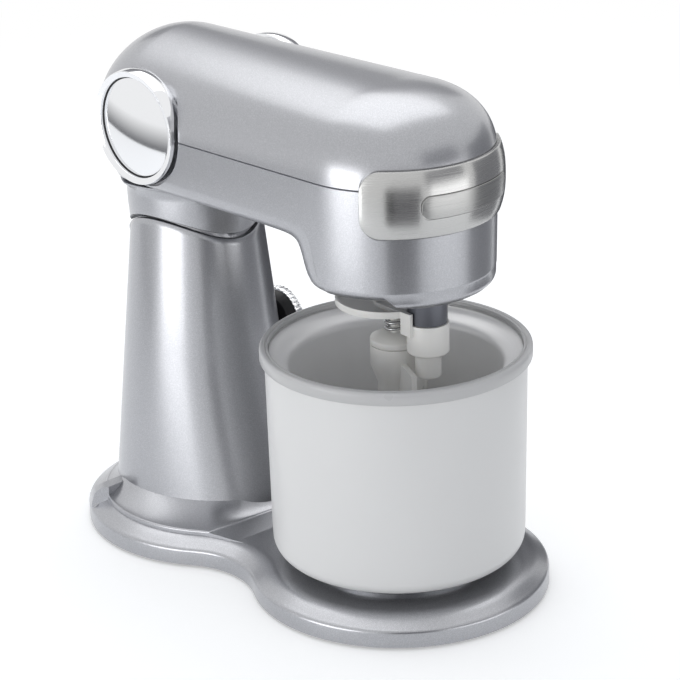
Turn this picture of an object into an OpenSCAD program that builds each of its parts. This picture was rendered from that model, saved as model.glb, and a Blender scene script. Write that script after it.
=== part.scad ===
// Ice cream maker: a tilt-head stand mixer that carries a freezer bowl.
// The nose of the mixer turns a white drive adapter, and the adapter's pin
// sweeps a three-armed dasher round the frozen bowl.
// Millimetres, +Z up, -Y to the front, origin under the bowl axis on the table.

/* [Base] */
// Radius of each round end of the base
base_r = 100; // [96:1:106]
// Distance between the centres of the two round ends
base_span = 170; // [160:1:180]
// Half width of the waist between the two ends
waist_half = 75; // [70:1:80]
// Height of the top of the base above the table
base_top = 20; // [18:0.5:22]
// Thickness of the base casting
base_wall = 4; // [3:0.5:5]
// Height of the rubber feet
foot_h = 2; // [1.5:0.5:4]
// Diameter of a rubber foot
foot_d = 20; // [14:1:24]

/* [Bowl seat] */
// Height of the raised bowl seat above the table
seat_top = 24; // [23:0.5:26]
// Outside radius of the raised bowl seat
seat_r = 62; // [60:1:66]
// Number of bayonet lugs on the bowl
lug_count = 3; // [2:1:4]
// Angle that a lug takes up
lug_angle = 34; // [28:1:40]
// Running clearance of pieces that slide on each other
slide_gap = 0.3; // [0.2:0.05:0.5]

/* [Column] */
// Distance of the column axis behind the bowl axis
column_y = 190; // [184:1:194]
// Radius of the column at its foot
column_foot_r = 66; // [62:1:68]
// Radius of the column at the height of the hinge
column_top_r = 46; // [44:1:48]
// Thickness of the column wall
column_wall = 3.5; // [2.5:0.5:4.5]
// Gap between the column and the neck of the head
neck_gap = 2.4; // [1.8:0.2:3]

/* [Hinge] */
// Height of the hinge pin above the table
hinge_z = 206; // [204:1:208]
// Radius of the knuckles round the hinge pin
knuckle_r = 12; // [11:0.5:12.5]
// Diameter of the hinge pin
hinge_pin_d = 10; // [8:0.5:11]
// Width of the middle knuckle, which is part of the column
knuckle_w = 30; // [24:1:34]

/* [Head] */
// Half width of the head at the nose
nose_r = 66.6; // [65:0.2:68]
// Half width of the head at the back
tail_r = 62.6; // [61:0.2:64]
// Height of the line where the two head shells meet
split_z = 294; // [292:1:296]
// Height of the crown above the split line at the nose
nose_crown = 51; // [48:1:54]
// Height of the crown above the split line at the back
tail_crown = 57.5; // [54:0.5:60]
// Thickness of the head shells
head_wall = 2.6; // [2:0.2:3]
// Height of the underside of the nose
nose_bottom = 222; // [220:0.5:224]
// How far the front lip of the nose hangs below its underside
chin_drop = 6; // [3:0.5:7]
// Distance of the back of the nose behind the bowl axis
nose_back = 47.5; // [47:0.5:50]
// How much narrower the nose is at its underside, on each side
nose_draft = 3.6; // [2:0.2:4.5]
// Height of the underside of the arm between nose and neck
arm_bottom = 252; // [250:1:254]

/* [Trim] */
// Outside radius of the chrome ring on each side of the head
disc_r = 39; // [37:0.5:40]
// Distance of the chrome ring behind the bowl axis
disc_y = 172; // [168:1:174]
// Height of the centre of the chrome ring
disc_z = 297; // [295:1:299]
// Height of the brushed steel band round the nose
band_h = 43; // [40:1:44]
// Thickness of the brushed steel band
band_t = 3; // [2.4:0.2:3.4]
// Half of the angle that the band wraps round the nose
band_half_angle = 63; // [58:1:66]

/* [Dial] */
// Radius of the speed dial
dial_r = 22; // [20:0.5:24]
// Height of the speed dial above the table
dial_z = 125; // [120:1:130]
// Number of grooves round the dial
dial_grooves = 36; // [24:2:40]

/* [Drive] */
// Distance between the bowl axis and the beater shaft
beater_offset = 31; // [30.5:0.5:32]
// Angle round the bowl axis at which the beater shaft stands at rest
park_angle = -94; // [-120:1:-60]
// Teeth of the fixed ring gear
ring_teeth = 66; // [60:1:72]
// Teeth of the planet gear on the beater shaft
planet_teeth = 22; // [20:1:24]
// Radius of the pulley on the motor shaft
motor_pulley_r = 9; // [8:0.5:10]
// Radius of the pulley over the nose
drive_pulley_r = 42; // [38:1:44]
// Radius of the motor can
motor_r = 32; // [28:1:34]

/* [Freezer bowl] */
// How far the rim stands out from the bowl
rim_lip = 3.1; // [2.7:0.1:3.5]
// Height of the rim above the table
rim_top = 172; // [168:1:174]
// Height of the rim band
rim_h = 8.6; // [7:0.2:10]
// Outside radius of the bowl just under the rim
bowl_r = 85.5; // [84:0.25:86]
// How much narrower the bowl is at its foot
bowl_taper = 1.6; // [1:0.2:2.4]
// Height of the bowl floor above the table
bowl_bottom = 28; // [27.6:0.2:29]
// Thickness of the frozen wall between the bowl's outside and its cavity
frozen_wall = 16; // [15.5:0.5:17.5]
// Thickness of the bowl walls
bowl_wall = 2.2; // [1.6:0.2:2.6]

/* [Adapter and dasher] */
// Radius of the disc on top of the drive adapter
adapter_r = 34; // [32:0.5:35]
// Height of the underside of the adapter disc
adapter_z = 198; // [197:0.5:200]
// Radius of the adapter's cup
cup_r = 13.6; // [13.3:0.1:13.9]
// Height of the bottom of the adapter's cup
cup_low = 173; // [171:0.5:176]
// Radius of the drive pin under the cup
drive_pin_r = 8.4; // [7.5:0.1:9]
// Height of the tip of the drive pin
pin_low = 157; // [154:0.5:159]
// Radius of the steel collar round the beater shaft
collar_r = 12.7; // [12:0.1:13]
// Height of the foot of the steel collar
collar_z = 194.5; // [192:0.5:196]
// Number of scraper arms on the dasher
arm_count = 3; // [2:1:4]
// Radius of the dasher's cap
cap_r = 16.6; // [15.5:0.1:16.8]
// Height of the flat top of the dasher's cap
cap_top = 178.5; // [177:0.5:180]
// Mean radius of the coil spring
spring_r = 6.3; // [6:0.1:6.8]
// Number of turns in the coil spring
spring_turns = 4; // [3:1:5]

/* [Hidden] */
$fn = 72;
eps = 0.01;

// ---- Values worked out from the sizes above ----

// base outline: two round ends joined by a waist, whose sides are arcs of waist_r
waist_y = base_span / 2;
waist_r = (waist_half * waist_half + waist_y * waist_y - base_r * base_r)
    / (2 * (base_r - waist_half));
waist_x = waist_half + waist_r;
edge_top = foot_h + 9.5;

gland_z = edge_top + 0.4;
gland_r = 6;
cord_r = 3.6;

// column and neck: a cone that narrows upwards and goes on in the neck
column_foot_z = 22.5;
column_slope = (column_foot_r - column_top_r) / (hinge_z + 7 - column_foot_z);
plinth_inset = 11;
plinth_front = 112;
plinth_top = base_top + 2.5;
block_top = base_top + 9;
block_front = 210;
function column_r(z) = column_foot_r - (z - column_foot_z) * column_slope;

// the head rocks on a hinge at the back of the column's rounded top
hinge_y = column_y + column_r(hinge_z) - knuckle_r;
crown_y = column_y - 6.5;
crown_r = 60;
crown_z = 165.4;
hinge_fit = 0.05;
knuckle_gap = 0.5;

// head
tail_y = column_y;
nose_exp = 2.5;
tail_exp = 1.9;

// trim
disc_x = tail_r + 1.4;
band_z = split_z - 8.5;
band_seat_r = nose_r - 1.2;
band_outer_r = nose_r + 4.6;
badge_z = band_z - 1.5;
outlet_z = split_z - 11.5;
outlet_r = 13.5;

// screws under the arch
arch_screw_x = nose_r - 10.6;
arch_screw_y = 54;
arch_screw_z = arm_bottom + 9;
screw_head_r = 4;

// bowl
rim_r = bowl_r + rim_lip;
cavity_r = bowl_r - frozen_wall;
rim_under = rim_top - rim_h;
liner_floor = 44;
cavity_foot_r = cavity_r - 3.5;
post_foot_r = 4.6;
post_h = 11;
shoulder_z = rim_top - 12.5;

// drive
gear_module = 2 * beater_offset / (ring_teeth - planet_teeth);
carrier_r = beater_offset + collar_r + 0.3;
carrier_z = nose_bottom - 3;
gear_z = arm_bottom + 4.5;
gear_h = 8;
belt_z = 322;
motor_y = tail_y - 8;
motor_z = arm_bottom + 10;
motor_h = 52;
motor_wall = 3;

// ---- Shared outlines ----

module base_outline(inset = 0) {
    r = base_r - inset;
    side = waist_r + inset;
    difference() {
        union() {
            circle(r, $fn = 144);
            translate([0, base_span]) circle(r, $fn = 144);
            polygon([[0, 0], [waist_x, waist_y], [0, base_span], [-waist_x, waist_y]]);
        }
        for (x = [-waist_x, waist_x])
            translate([x, waist_y]) circle(side, $fn = 144);
    }
}

// points of the base's rounded edge: distance in from the outline, height
function edge_points(drop) = [
    [0, edge_top - drop], [0.8, edge_top + 1.3 - drop], [2.4, edge_top + 2.2 - drop],
    [9, base_top - 1.6 - drop], [14, base_top - 0.2 - drop], [18, base_top - drop]
];

// the base as one closed body, drawn in by inset and lowered by drop
module base_body(inset, drop, bottom) {
    r = base_r - inset;
    side = waist_r + inset;
    top = base_top - drop;
    edge = edge_points(drop);
    for (y = [0, base_span])
        translate([0, y, 0])
            rotate_extrude($fn = 144)
                polygon(concat([[0, bottom], [r, bottom]],
                    [for (p = edge) [r - p[0], p[1]]], [[0, top]]));
    difference() {
        translate([0, 0, bottom])
            linear_extrude(top - bottom)
                polygon([[0, 0], [waist_x, waist_y], [0, base_span], [-waist_x, waist_y]]);
        for (x = [-waist_x, waist_x])
            translate([x, waist_y, 0])
                rotate_extrude($fn = 144)
                    polygon(concat([[0, bottom - 1], [side, bottom - 1]],
                        [for (p = edge) [side + p[0], p[1]]],
                        [[side + 18, top + 1], [0, top + 1]]));
    }
}

// side view of everything that belongs to the column, seen along X
module column_side(grow = 0) {
    translate([crown_y, crown_z]) circle(crown_r + grow, $fn = 144);
    translate([hinge_y, hinge_z]) circle(knuckle_r + (grow > 0 ? knuckle_gap : 0));
    translate([column_y - 90, 0]) square([180, crown_z]);
    translate([hinge_y, 0]) square([40, hinge_z - 6]);
}

module along_x(width) {
    rotate([90, 0, 90])
        linear_extrude(width, center = true)
            children();
}

module ring(r_out, r_in, h, z = 0) {
    translate([0, 0, z])
        difference() {
            cylinder(r = r_out, h = h);
            translate([0, 0, -1]) cylinder(r = r_in, h = h + 2);
        }
}

// a wedge that reaches from angle a to angle b
module sector(r, a, b, h, z = 0) {
    steps = max(2, ceil((b - a) / 30));
    translate([0, 0, z])
        linear_extrude(h)
            polygon(concat([[0, 0]],
                [for (i = [0:steps]) let (t = a + (b - a) * i / steps) [r * cos(t), r * sin(t)]]));
}

// ---- Stand: base, seat and column ----

module base_casting() {
    color("#a4a5ad")
        difference() {
            union() {
                base_body(0, 0, foot_h);
                plinth();
                rear_block();
                translate([0, 0, foot_h]) cylinder(r = seat_r, h = seat_top - foot_h);
                column_fillet();
            }
            base_body(base_wall, base_wall, foot_h - 1);
            translate([0, 0, seat_top - 3.5]) cylinder(r = 60 + slide_gap, h = 10);
            translate([0, base_span + base_r, gland_z])
                rotate([90, 0, 0]) cylinder(r = gland_r, h = 40, center = true);
            translate([0, column_y, 0]) cylinder(r = 40, h = 60);
            translate([0, 0, -1]) cylinder(r = base_r * 3, h = foot_h + 1);
        }
    color("#a4a5ad")
        cover_bosses();
}

// raised plate under the column, a little inside the base's own outline
module plinth() {
    for (step = [0, 1])
        translate([0, 0, base_top - 4])
            linear_extrude(plinth_top - base_top + 4 - 1.2 * (1 - step))
                intersection() {
                    base_outline(plinth_inset + 1.4 * step);
                    translate([-base_r, plinth_front + 1.4 * step]) square([2 * base_r, 2 * base_r]);
                }
}

// the back of the base stands higher, with a slanted end on each side
module rear_block() {
    difference() {
        translate([0, base_span, 0])
            rotate_extrude($fn = 144)
                polygon([[0, edge_top - 1], [base_r - 0.3, edge_top - 1], [base_r - 2.3, block_top - 8],
                    [base_r - 5, block_top - 3], [base_r - 10, block_top], [0, block_top]]);
        translate([-base_r - 1, base_span - base_r - 1, -1])
            cube([2 * base_r + 2, block_front - base_span + base_r + 1, 60]);
        for (m = [0, 1])
            mirror([m, 0, 0])
                translate([77.5, block_front, base_top])
                    rotate([0, 0, 49]) translate([-60, -80, 0]) cube([160, 80, 40]);
        translate([0, column_y, plinth_top]) cylinder(r = column_foot_r + 0.3, h = 40, $fn = 144);
    }
}

module column_fillet() {
    translate([0, column_y, plinth_top])
        rotate_extrude()
            difference() {
                square([column_foot_r + 8, 8]);
                translate([column_foot_r + 8.3, 8]) circle(8);
                polygon([[0, 0], [column_foot_r + 0.3, 0], [column_foot_r + 0.3 - 9 * column_slope, 9], [0, 9]]);
            }
}

cover_boss_places = [[-60, -50], [60, -50], [-58, 210], [58, 210], [0, 100]];

module cover_bosses() {
    for (p = cover_boss_places)
        translate([p[0], p[1], foot_h + 2.5])
            difference() {
                cylinder(r = 5, h = base_top - base_wall - foot_h - 2.5 + 1);
                translate([0, 0, -1]) cylinder(r = 1.6, h = 9);
            }
}

module base_cover() {
    color("#3a3b3f")
        difference() {
            translate([0, 0, foot_h]) linear_extrude(2.5) base_outline(base_wall + slide_gap);
            for (p = cover_boss_places)
                translate([p[0], p[1], 0]) cylinder(r = 2.2, h = 20);
        }
}

foot_places = [[-62, -52], [62, -52], [-66, 222], [66, 222], [0, 0]];

module rubber_feet() {
    color("#2b2b2d")
        for (p = foot_places)
            translate([p[0], p[1], 0])
                cylinder(r1 = foot_d / 2 - 0.6, r2 = foot_d / 2, h = foot_h);
}

seat_floor = seat_top - 3.5;
lug_r = 48.5;
foot_ring_r = 43.5;

module bowl_seat_ring() {
    lip_r = foot_ring_r + slide_gap;
    room_r = lug_r + slide_gap;
    lip_z = seat_top - 1.2;
    color("#8d8f94")
        difference() {
            rotate_extrude($fn = 144)
                polygon([
                    [room_r, seat_floor], [60, seat_floor], [60, seat_top + 0.4],
                    [lip_r, seat_top + 0.4], [lip_r, lip_z], [room_r, lip_z]
                ]);
            for (i = [0:lug_count - 1])
                rotate(i * 360 / lug_count + 60)
                    sector(room_r + 0.8, 0, lug_angle + 4, 20, seat_floor + 0.6);
        }
}

module cord_gland() {
    color("#26272a")
        translate([0, base_span + base_r - base_wall, gland_z])
            rotate([-90, 0, 0])
                difference() {
                    union() {
                        translate([0, 0, -7]) cylinder(r = gland_r - 0.05, h = base_wall + 8);
                        translate([0, 0, base_wall + 0.2]) cylinder(r = gland_r + 2, h = 2.2);
                    }
                    translate([0, 0, -10]) cylinder(r = cord_r, h = 30);
                }
}

module column_cone(inset = 0, from_z = 0) {
    top = hinge_z + 30;
    translate([0, column_y, from_z])
        cylinder(r1 = column_r(from_z) - inset, r2 = column_r(top) - inset, h = top - from_z, $fn = 144);
}

module column_shell() {
    color("#a4a5ad")
        difference() {
            intersection() {
                column_cone(0, plinth_top);
                along_x(160) column_side();
            }
            column_cone(column_wall, 0.5);
            translate([column_r(dial_z) - 10, dial_y, dial_z])
                rotate([0, 90, 0]) cylinder(r = dial_shaft_r + hinge_fit, h = 20);
            translate([column_r(latch_z) - 10, latch_y, latch_z])
                rotate([0, 90, 0]) cylinder(r = latch_shaft_r + hinge_fit, h = 20);
            lug_cut();
        }
}

// room for the head's two hinge lugs on either side of the middle knuckle
module lug_cut() {
    translate([0, hinge_y, hinge_z])
        for (m = [0, 1])
            mirror([m, 0, 0])
                translate([knuckle_w / 2, 0, 0])
                    rotate([0, 90, 0]) cylinder(r = knuckle_r + knuckle_gap, h = 40);
}

// closed top of the column, which carries the middle knuckle and the latch
module column_plate() {
    color("#8d8f96")
        difference() {
            intersection() {
                column_cone(column_wall + 0.05, 180);
                along_x(120)
                    difference() {
                        column_side();
                        translate([crown_y, crown_z]) circle(crown_r - 5, $fn = 144);
                        translate([crown_y - 100, 0]) square([200, hinge_z - 16]);
                    }
            }
            lug_cut();
            translate([0, hinge_y, hinge_z])
                rotate([0, 90, 0]) cylinder(r = hinge_pin_d / 2 + hinge_fit, h = 120, center = true);
        }
}

module hinge_pin() {
    color("#c8cacc")
        translate([0, hinge_y, hinge_z])
            rotate([0, 90, 0]) cylinder(r = hinge_pin_d / 2, h = knuckle_w + 26, center = true);
}

board_w = 70;
board_h = 70;
board_t = 1.6;
board_low = dial_z - 25;
board_y = column_y - 30;
chip = 12;

module control_board() {
    color("#2f6b3c")
        translate([-board_w / 2, board_y, board_low]) cube([board_w, board_t, board_h]);
    color("#33363a")
        for (i = [0:2])
            translate([-20, board_y + board_t, board_low + 10 + 20 * i]) cube([chip + 4, chip, chip]);
}

// ---- Speed dial and latch ----

dial_y = column_y - 10;
dial_x = column_r(dial_z) + 2;
dial_shaft_r = 4;

module speed_dial() {
    color("#2c2d30")
        translate([dial_x, dial_y, dial_z])
            rotate([0, 90, 0]) {
                cylinder(r1 = dial_r - 5, r2 = dial_r - 1.6, h = 6);
                translate([0, 0, 6]) cylinder(r = dial_r - 3.2, h = 6);
                translate([0, 0, -14]) cylinder(r = dial_shaft_r, h = 16);
                translate([0, 0, 12])
                    linear_extrude(3)
                        intersection() {
                            circle(dial_r - 4);
                            square([5, 2 * dial_r], center = true);
                        }
            }
}

module dial_ring() {
    color("#d9dbdd")
        translate([dial_x, dial_y, dial_z])
            rotate([0, 90, 0])
                difference() {
                    translate([0, 0, 6]) cylinder(r = dial_r, h = 6);
                    translate([0, 0, 5]) cylinder(r = dial_r - 3.2, h = 8);
                    for (i = [0:dial_grooves - 1])
                        rotate(i * 360 / dial_grooves)
                            translate([dial_r + 0.3, 0, 5]) cylinder(r = 1, h = 8, $fn = 8);
                }
}

latch_z = 186;
latch_back = 6;
latch_y = column_y + latch_back;
latch_x = sqrt(pow(column_r(latch_z), 2) - latch_back * latch_back) + 2;
latch_shaft_r = 3.5;
latch_reach = 26;

// lever that points back along the column and frees the head when it is pushed down
module latch_lever() {
    color("#2c2d30")
        translate([latch_x, latch_y, latch_z])
            rotate([0, 90, 0]) {
                translate([0, 0, -14]) cylinder(r = latch_shaft_r, h = 16);
                difference() {
                    linear_extrude(6)
                        union() {
                            circle(8);
                            translate([-4.5, 0]) square([9, latch_reach]);
                            translate([0, latch_reach]) circle(4.5);
                        }
                    translate([0, latch_reach, 12]) sphere(r = 8);
                }
            }
}

// ---- Head ----

// one end of the crown: a dome whose outline is a rounded-square curve
module crown_dome(r, h, n, rings) {
    rotate_extrude($fn = 40)
        polygon(concat([[0, 0]],
            [for (i = [0:rings]) let (a = 90 * i / rings, c = cos(a), s = sin(a))
                [r * pow(c, 2 / n), h * pow(s, 2 / n)]]));
}

module crown_body(inset) {
    hull() {
        crown_dome(nose_r - inset, nose_crown - inset, nose_exp, 9);
        translate([0, tail_y, 0]) crown_dome(tail_r - inset, tail_crown - inset, tail_exp, 9);
    }
}

module head_upper_shell() {
    color("#a4a5ad")
        difference() {
            translate([0, 0, split_z]) crown_body(0);
            translate([0, 0, split_z - eps]) crown_body(head_wall);
            band_recess();
            outlet_hole();
            disc_recess();
        }
}

// half width of the head at a distance y behind the bowl axis
function plan_half(y, r1, r2, lean) =
    y < r1 * sin(lean) ? sqrt(max(0, r1 * r1 - y * y)) :
    y > tail_y + r2 * sin(lean) ? sqrt(max(0, r2 * r2 - pow(y - tail_y, 2))) :
    (r1 - (y - 0) * tan(lean)) / cos(lean);

// distance from a point of the plan to the nearest place on its outline
function plan_depth(x, y, r1, r2, lean) =
    y < 0 ? r1 - norm([x, y]) :
    y > tail_y ? r2 - norm([x, y - tail_y]) :
    max(0, (plan_half(y, r1, r2, lean) - abs(x)) * cos(lean));

// how far the nose's curved back wall lies behind the axis at a distance x from the middle
function back_at(x) = nose_back * sqrt(max(0.02, 1 - pow(x / nose_r, 2)));

// how far the underside has risen from nose to arm: 0 under the nose, 1 under the arm
function rise(x, y) =
    let (t = (y - back_at(x)) / 4.5)
    y < 0 ? 0 : 0.5 + 0.5 * t / sqrt(1 + t * t);

// y of a cross-section at x: sections near the arch bend with the nose's back wall
function bend(y, x) =
    let (share = y < 0 ? 0 : y < nose_back ? y / nose_back : y < 70 ? 1 : max(0, (150 - y) / 80))
    y + share * (back_at(x) - nose_back);

// height of the head's underside: flat, with a rounded edge all round
function underside(x, y, r1, r2, lean, inset) =
    let (
        k = rise(x, y),
        c = 9 + 4 * k,
        d = min(c, plan_depth(x, y, r1, r2, lean))
    )
    nose_bottom + (arm_bottom - nose_bottom) * k + inset + c - sqrt(max(0, c * c - (c - d) * (c - d)));

// stations along the head: close together round the nose, the arch and the tail
function stations(r1, r2) = concat(
    [for (a = [86:-8.6:1]) -r1 * cos(90 - a)],
    [for (k = [0, 0.25, 0.5, 0.7]) nose_back * k],
    [for (t = [-8, -4.5, -2.5, -1, 1, 2.5, 4.5, 7, 11, 17, 26]) nose_back + t],
    [90, 120, 150, 175],
    [for (a = [0:8.6:87]) tail_y + r2 * sin(a)]
);

// closed body of the lower head, lofted through cross-sections along Y
module lower_body(inset = 0, above = 0) {
    r1 = nose_r - inset;
    r2 = tail_r - inset;
    lean = asin((nose_r - tail_r) / tail_y);
    ys = stations(r1, r2);
    across = 16;
    ring_pts = across + 3;
    sections = [for (station = ys)
        let (
            edge = bend(station, nose_r),
            w = plan_half(edge, r1, r2, lean)
        )
        concat(
            [[-w, edge, split_z + above]],
            [for (j = [0:across])
                let (
                    s = sin(-90 + 180 * j / across),
                    y = bend(station, nose_r * s),
                    x = plan_half(y, r1, r2, lean) * s,
                    k = 1 - nose_draft / nose_r * (1 - 0.8 * rise(x, y))
                )
                [x * k, y < 0 ? y * k : y, underside(x, y, r1, r2, lean, inset)]],
            [[w, edge, split_z + above]]
        )];
    n = len(ys);
    polyhedron(
        points = [for (sec = sections) for (p = sec) p],
        faces = concat(
            [[for (j = [ring_pts - 1:-1:0]) j]],
            [for (i = [0:n - 2]) for (j = [0:ring_pts - 1])
                let (a = i * ring_pts + j, b = i * ring_pts + (j + 1) % ring_pts)
                each [[a, b + ring_pts, a + ring_pts], [a, b, b + ring_pts]]],
            [[for (j = [0:ring_pts - 1]) (n - 1) * ring_pts + j]]
        )
    );
}

// front lip of the nose, which hangs in front of the drive
module chin() {
    r = nose_r - nose_draft;
    c = 5;
    intersection() {
        rotate_extrude($fn = 144)
            union() {
                translate([carrier_r + 1.2, nose_bottom - chin_drop])
                    square([r - c - carrier_r - 1.2, chin_drop + 4]);
                translate([r - c, nose_bottom - chin_drop + c]) circle(c);
                translate([r - c, nose_bottom - chin_drop + c])
                    polygon([[0, 0], [c, 0], [c + 0.5, chin_drop + 4], [0, chin_drop + 4]]);
            }
        translate([0, -38, nose_bottom])
            rotate([30, 0, 0]) translate([-base_r, -base_r, -20]) cube([2 * base_r, base_r, 40]);
    }
}

// neck under the tail, which carries on the line of the column
module neck_body(inset = 0) {
    low = 190;
    flare = 10;
    neck_r = column_top_r + 2 - inset;
    intersection() {
        translate([0, tail_y, 0])
            rotate_extrude($fn = 144)
                union() {
                    polygon([
                        [0, low], [column_r(low) - inset, low],
                        [column_r(hinge_z + 10) - inset, hinge_z + 10],
                        [neck_r, arm_bottom - flare], [neck_r, arm_bottom + 6], [0, arm_bottom + 6]
                    ]);
                    difference() {
                        translate([neck_r - 1, arm_bottom - flare]) square([flare + 1, flare + 6]);
                        translate([neck_r + flare, arm_bottom - flare]) circle(flare);
                    }
                }
        along_x(160)
            difference() {
                translate([tail_y - 80, low]) square([160, 90]);
                column_side(neck_gap);
                translate([hinge_y, low - 1]) square([60, hinge_z + knuckle_r * 0.7 - low + 1]);
            }
    }
}

module hinge_lugs() {
    difference() {
        for (m = [0, 1])
            mirror([m, 0, 0])
                translate([knuckle_w / 2 + 0.4, hinge_y, hinge_z])
                    rotate([0, 90, 0])
                        linear_extrude(14)
                            union() {
                                circle(knuckle_r);
                                difference() {
                                    translate([-24, -14]) square([24, 20]);
                                    translate([hinge_z - crown_z, crown_y - hinge_y])
                                        circle(crown_r + neck_gap, $fn = 144);
                                }
                            }
        translate([0, hinge_y, hinge_z])
            rotate([0, 90, 0]) cylinder(r = hinge_pin_d / 2 + hinge_fit, h = 120, center = true);
    }
}

module head_lower_shell() {
    color("#a4a5ad")
        difference() {
            union() {
                difference() {
                    union() {
                        lower_body();
                        neck_body(0);
                    }
                    lower_body(head_wall, 1);
                    neck_hollow();
                }
                chin();
                arch_screw_bosses();
                intersection() {
                    hinge_lugs();
                    translate([0, tail_y, 150]) cylinder(r = column_top_r - 0.2, h = 96);
                }
            }
            translate([0, 0, nose_bottom - 20]) cylinder(r = carrier_r + 0.5, h = 30);
            band_recess();
            outlet_hole();
            disc_recess();
            arch_screw_holes();
        }
}

module neck_hollow() {
    intersection() {
        neck_body(head_wall);
        along_x(160)
            difference() {
                translate([tail_y - 80, 150]) square([160, 140]);
                column_side(neck_gap + 3);
                translate([hinge_y - knuckle_r - 3, 150]) square([80, 82]);
            }
    }
    translate([0, motor_y, arm_bottom - 8]) cylinder(r = motor_r - 5, h = 16);
}

module band_recess() {
    translate([0, 0, band_z - band_h / 2 - 0.8])
        rotate(-90)
            difference() {
                intersection() {
                    cylinder(r = nose_r + 10, h = band_h + 1.6);
                    sector(nose_r + 60, -band_half_angle - 0.8, band_half_angle + 0.8, band_h + 1.6);
                }
                translate([0, 0, -1]) cylinder(r = band_seat_r, h = band_h + 4, $fn = 144);
            }
}

module disc_recess() {
    for (m = [0, 1])
        mirror([m, 0, 0])
            translate([disc_x - 8, disc_y, disc_z])
                rotate([0, 90, 0]) cylinder(r = disc_r + 0.8, h = 40);
}

// bosses inside the shell for the two screws behind the nose
module arch_screw_bosses() {
    intersection() {
        for (x = [-arch_screw_x, arch_screw_x])
            translate([x, arch_screw_y, arm_bottom - 10]) cylinder(r = screw_head_r + 3, h = 34);
        lower_body();
    }
}

module arch_screw_holes() {
    for (x = [-arch_screw_x, arch_screw_x])
        translate([x, arch_screw_y, arm_bottom - 20]) {
            cylinder(r = screw_head_r + 0.3, h = arch_screw_z - arm_bottom + 20);
            cylinder(r = 2.1, h = 60);
        }
}

module arch_screws() {
    color("#4a4b50")
        for (x = [-arch_screw_x, arch_screw_x])
            translate([x, arch_screw_y, arch_screw_z - 3])
                difference() {
                    union() {
                        cylinder(r = screw_head_r, h = 3);
                        cylinder(r = 2, h = 16);
                    }
                    translate([0, 0, -1]) cylinder(r = 2.2, h = 2.6, $fn = 6);
                }
}

// chrome ring and cap on one side of the head
module side_bezel(side) {
    color("#d4d6d9")
        translate([side * disc_x, disc_y, disc_z])
            rotate([0, side * 90, 0])
                difference() {
                    rotate_extrude($fn = 96)
                        polygon([
                            [disc_r - 9, -7.7], [disc_r, -7.7], [disc_r, 2], [disc_r - 1.2, 3.6],
                            [disc_r - 3, 4], [disc_r - 5.6, 2.4], [disc_r - 5.6, -3], [disc_r - 9, -3]
                        ]);
                }
}

module side_cap(side) {
    color("#e4e6e8")
        translate([side * disc_x, disc_y, disc_z])
            rotate([0, side * 90, 0])
                intersection() {
                    translate([0, 0, -2.9]) cylinder(r = disc_r - 5.9, h = 12, $fn = 96);
                    translate([0, 0, 2.6 - 200]) sphere(r = 200, $fn = 200);
                }
}

module left_bezel() side_bezel(-1);
module right_bezel() side_bezel(1);
module left_cap() side_cap(-1);
module right_cap() side_cap(1);

module band_wrap(r_in, r_out, h, half_angle, z, corner) {
    rotate(-90)
        intersection() {
            ring(r_out, r_in, h, z - h / 2);
            sector(r_in * 3, -half_angle, half_angle, h, z - h / 2);
            rotate([0, 90, 0])
                linear_extrude(r_in * 3)
                    band_face(h, r_in * sin(half_angle), z, corner);
        }
}

// front face of a wrapped plate: corners rounded, ends left long between them
module band_face(h, w, z, corner) {
    u = h / 2 - corner;
    v = w - corner;
    translate([-z, 0])
        polygon(concat(
            [for (a = [0:15:75]) [u + corner * cos(a), v + corner * sin(a)]],
            [[u, w + 10], [-u, w + 10]],
            [for (a = [105:15:180]) [corner * cos(a) - u, v + corner * sin(a)]],
            [for (a = [180:15:255]) [corner * cos(a) - u, corner * sin(a) - v]],
            [[-u, -w - 10], [u, -w - 10]],
            [for (a = [285:15:360]) [u + corner * cos(a), corner * sin(a) - v]]
        ));
}

module nose_band() {
    color("#c3c3c1")
        difference() {
            band_wrap(band_seat_r + 0.3, band_outer_r, band_h, band_half_angle, band_z, 13);
            band_wrap(band_seat_r - 1, band_outer_r - band_t, band_h - 6, band_half_angle - 3, band_z, 10);
            band_wrap(band_outer_r - 0.8, band_outer_r + 3, 15.6, 32.6, badge_z, 7);
        }
}

module badge_panel() {
    color("#b9b9b8")
        band_wrap(band_outer_r - 0.7, band_outer_r + 0.6, 14.4, 31.4, badge_z, 6.4);
}

// power outlet for other attachments, reached once the front cover is off
module outlet_socket() {
    color("#8d8f96")
        translate([0, -band_seat_r + 0.6, outlet_z])
            rotate([-90, 0, 0])
                difference() {
                    cylinder(r = outlet_r, h = 22);
                    translate([0, 0, -1]) cylinder(r = outlet_r - 4.5, h = 18);
                }
}

module outlet_hole() {
    translate([0, -nose_r - 10, outlet_z])
        rotate([-90, 0, 0]) cylinder(r = outlet_r + slide_gap, h = 40);
}

// ---- Drive train inside the head ----

module motor_can() {
    color("#5c5e63")
        translate([0, motor_y, 0])
            difference() {
                translate([0, 0, motor_z]) cylinder(r = motor_r, h = motor_h);
                translate([0, 0, motor_z + motor_wall])
                    cylinder(r = motor_r - motor_wall, h = motor_h - 2 * motor_wall);
                translate([0, 0, motor_z - 5]) cylinder(r = 5.05, h = motor_h + 20);
            }
}

module motor_bracket() {
    color("#7b7d82")
        translate([0, motor_y, motor_z - 6])
            difference() {
                union() {
                    cylinder(r = motor_r + 6, h = 6);
                    for (a = [45:90:315])
                        rotate(a) translate([motor_r + 2, 0, -1]) cylinder(r = 4, h = 7);
                }
                translate([0, 0, -5]) cylinder(r = motor_r - 6, h = 20);
            }
}

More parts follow.
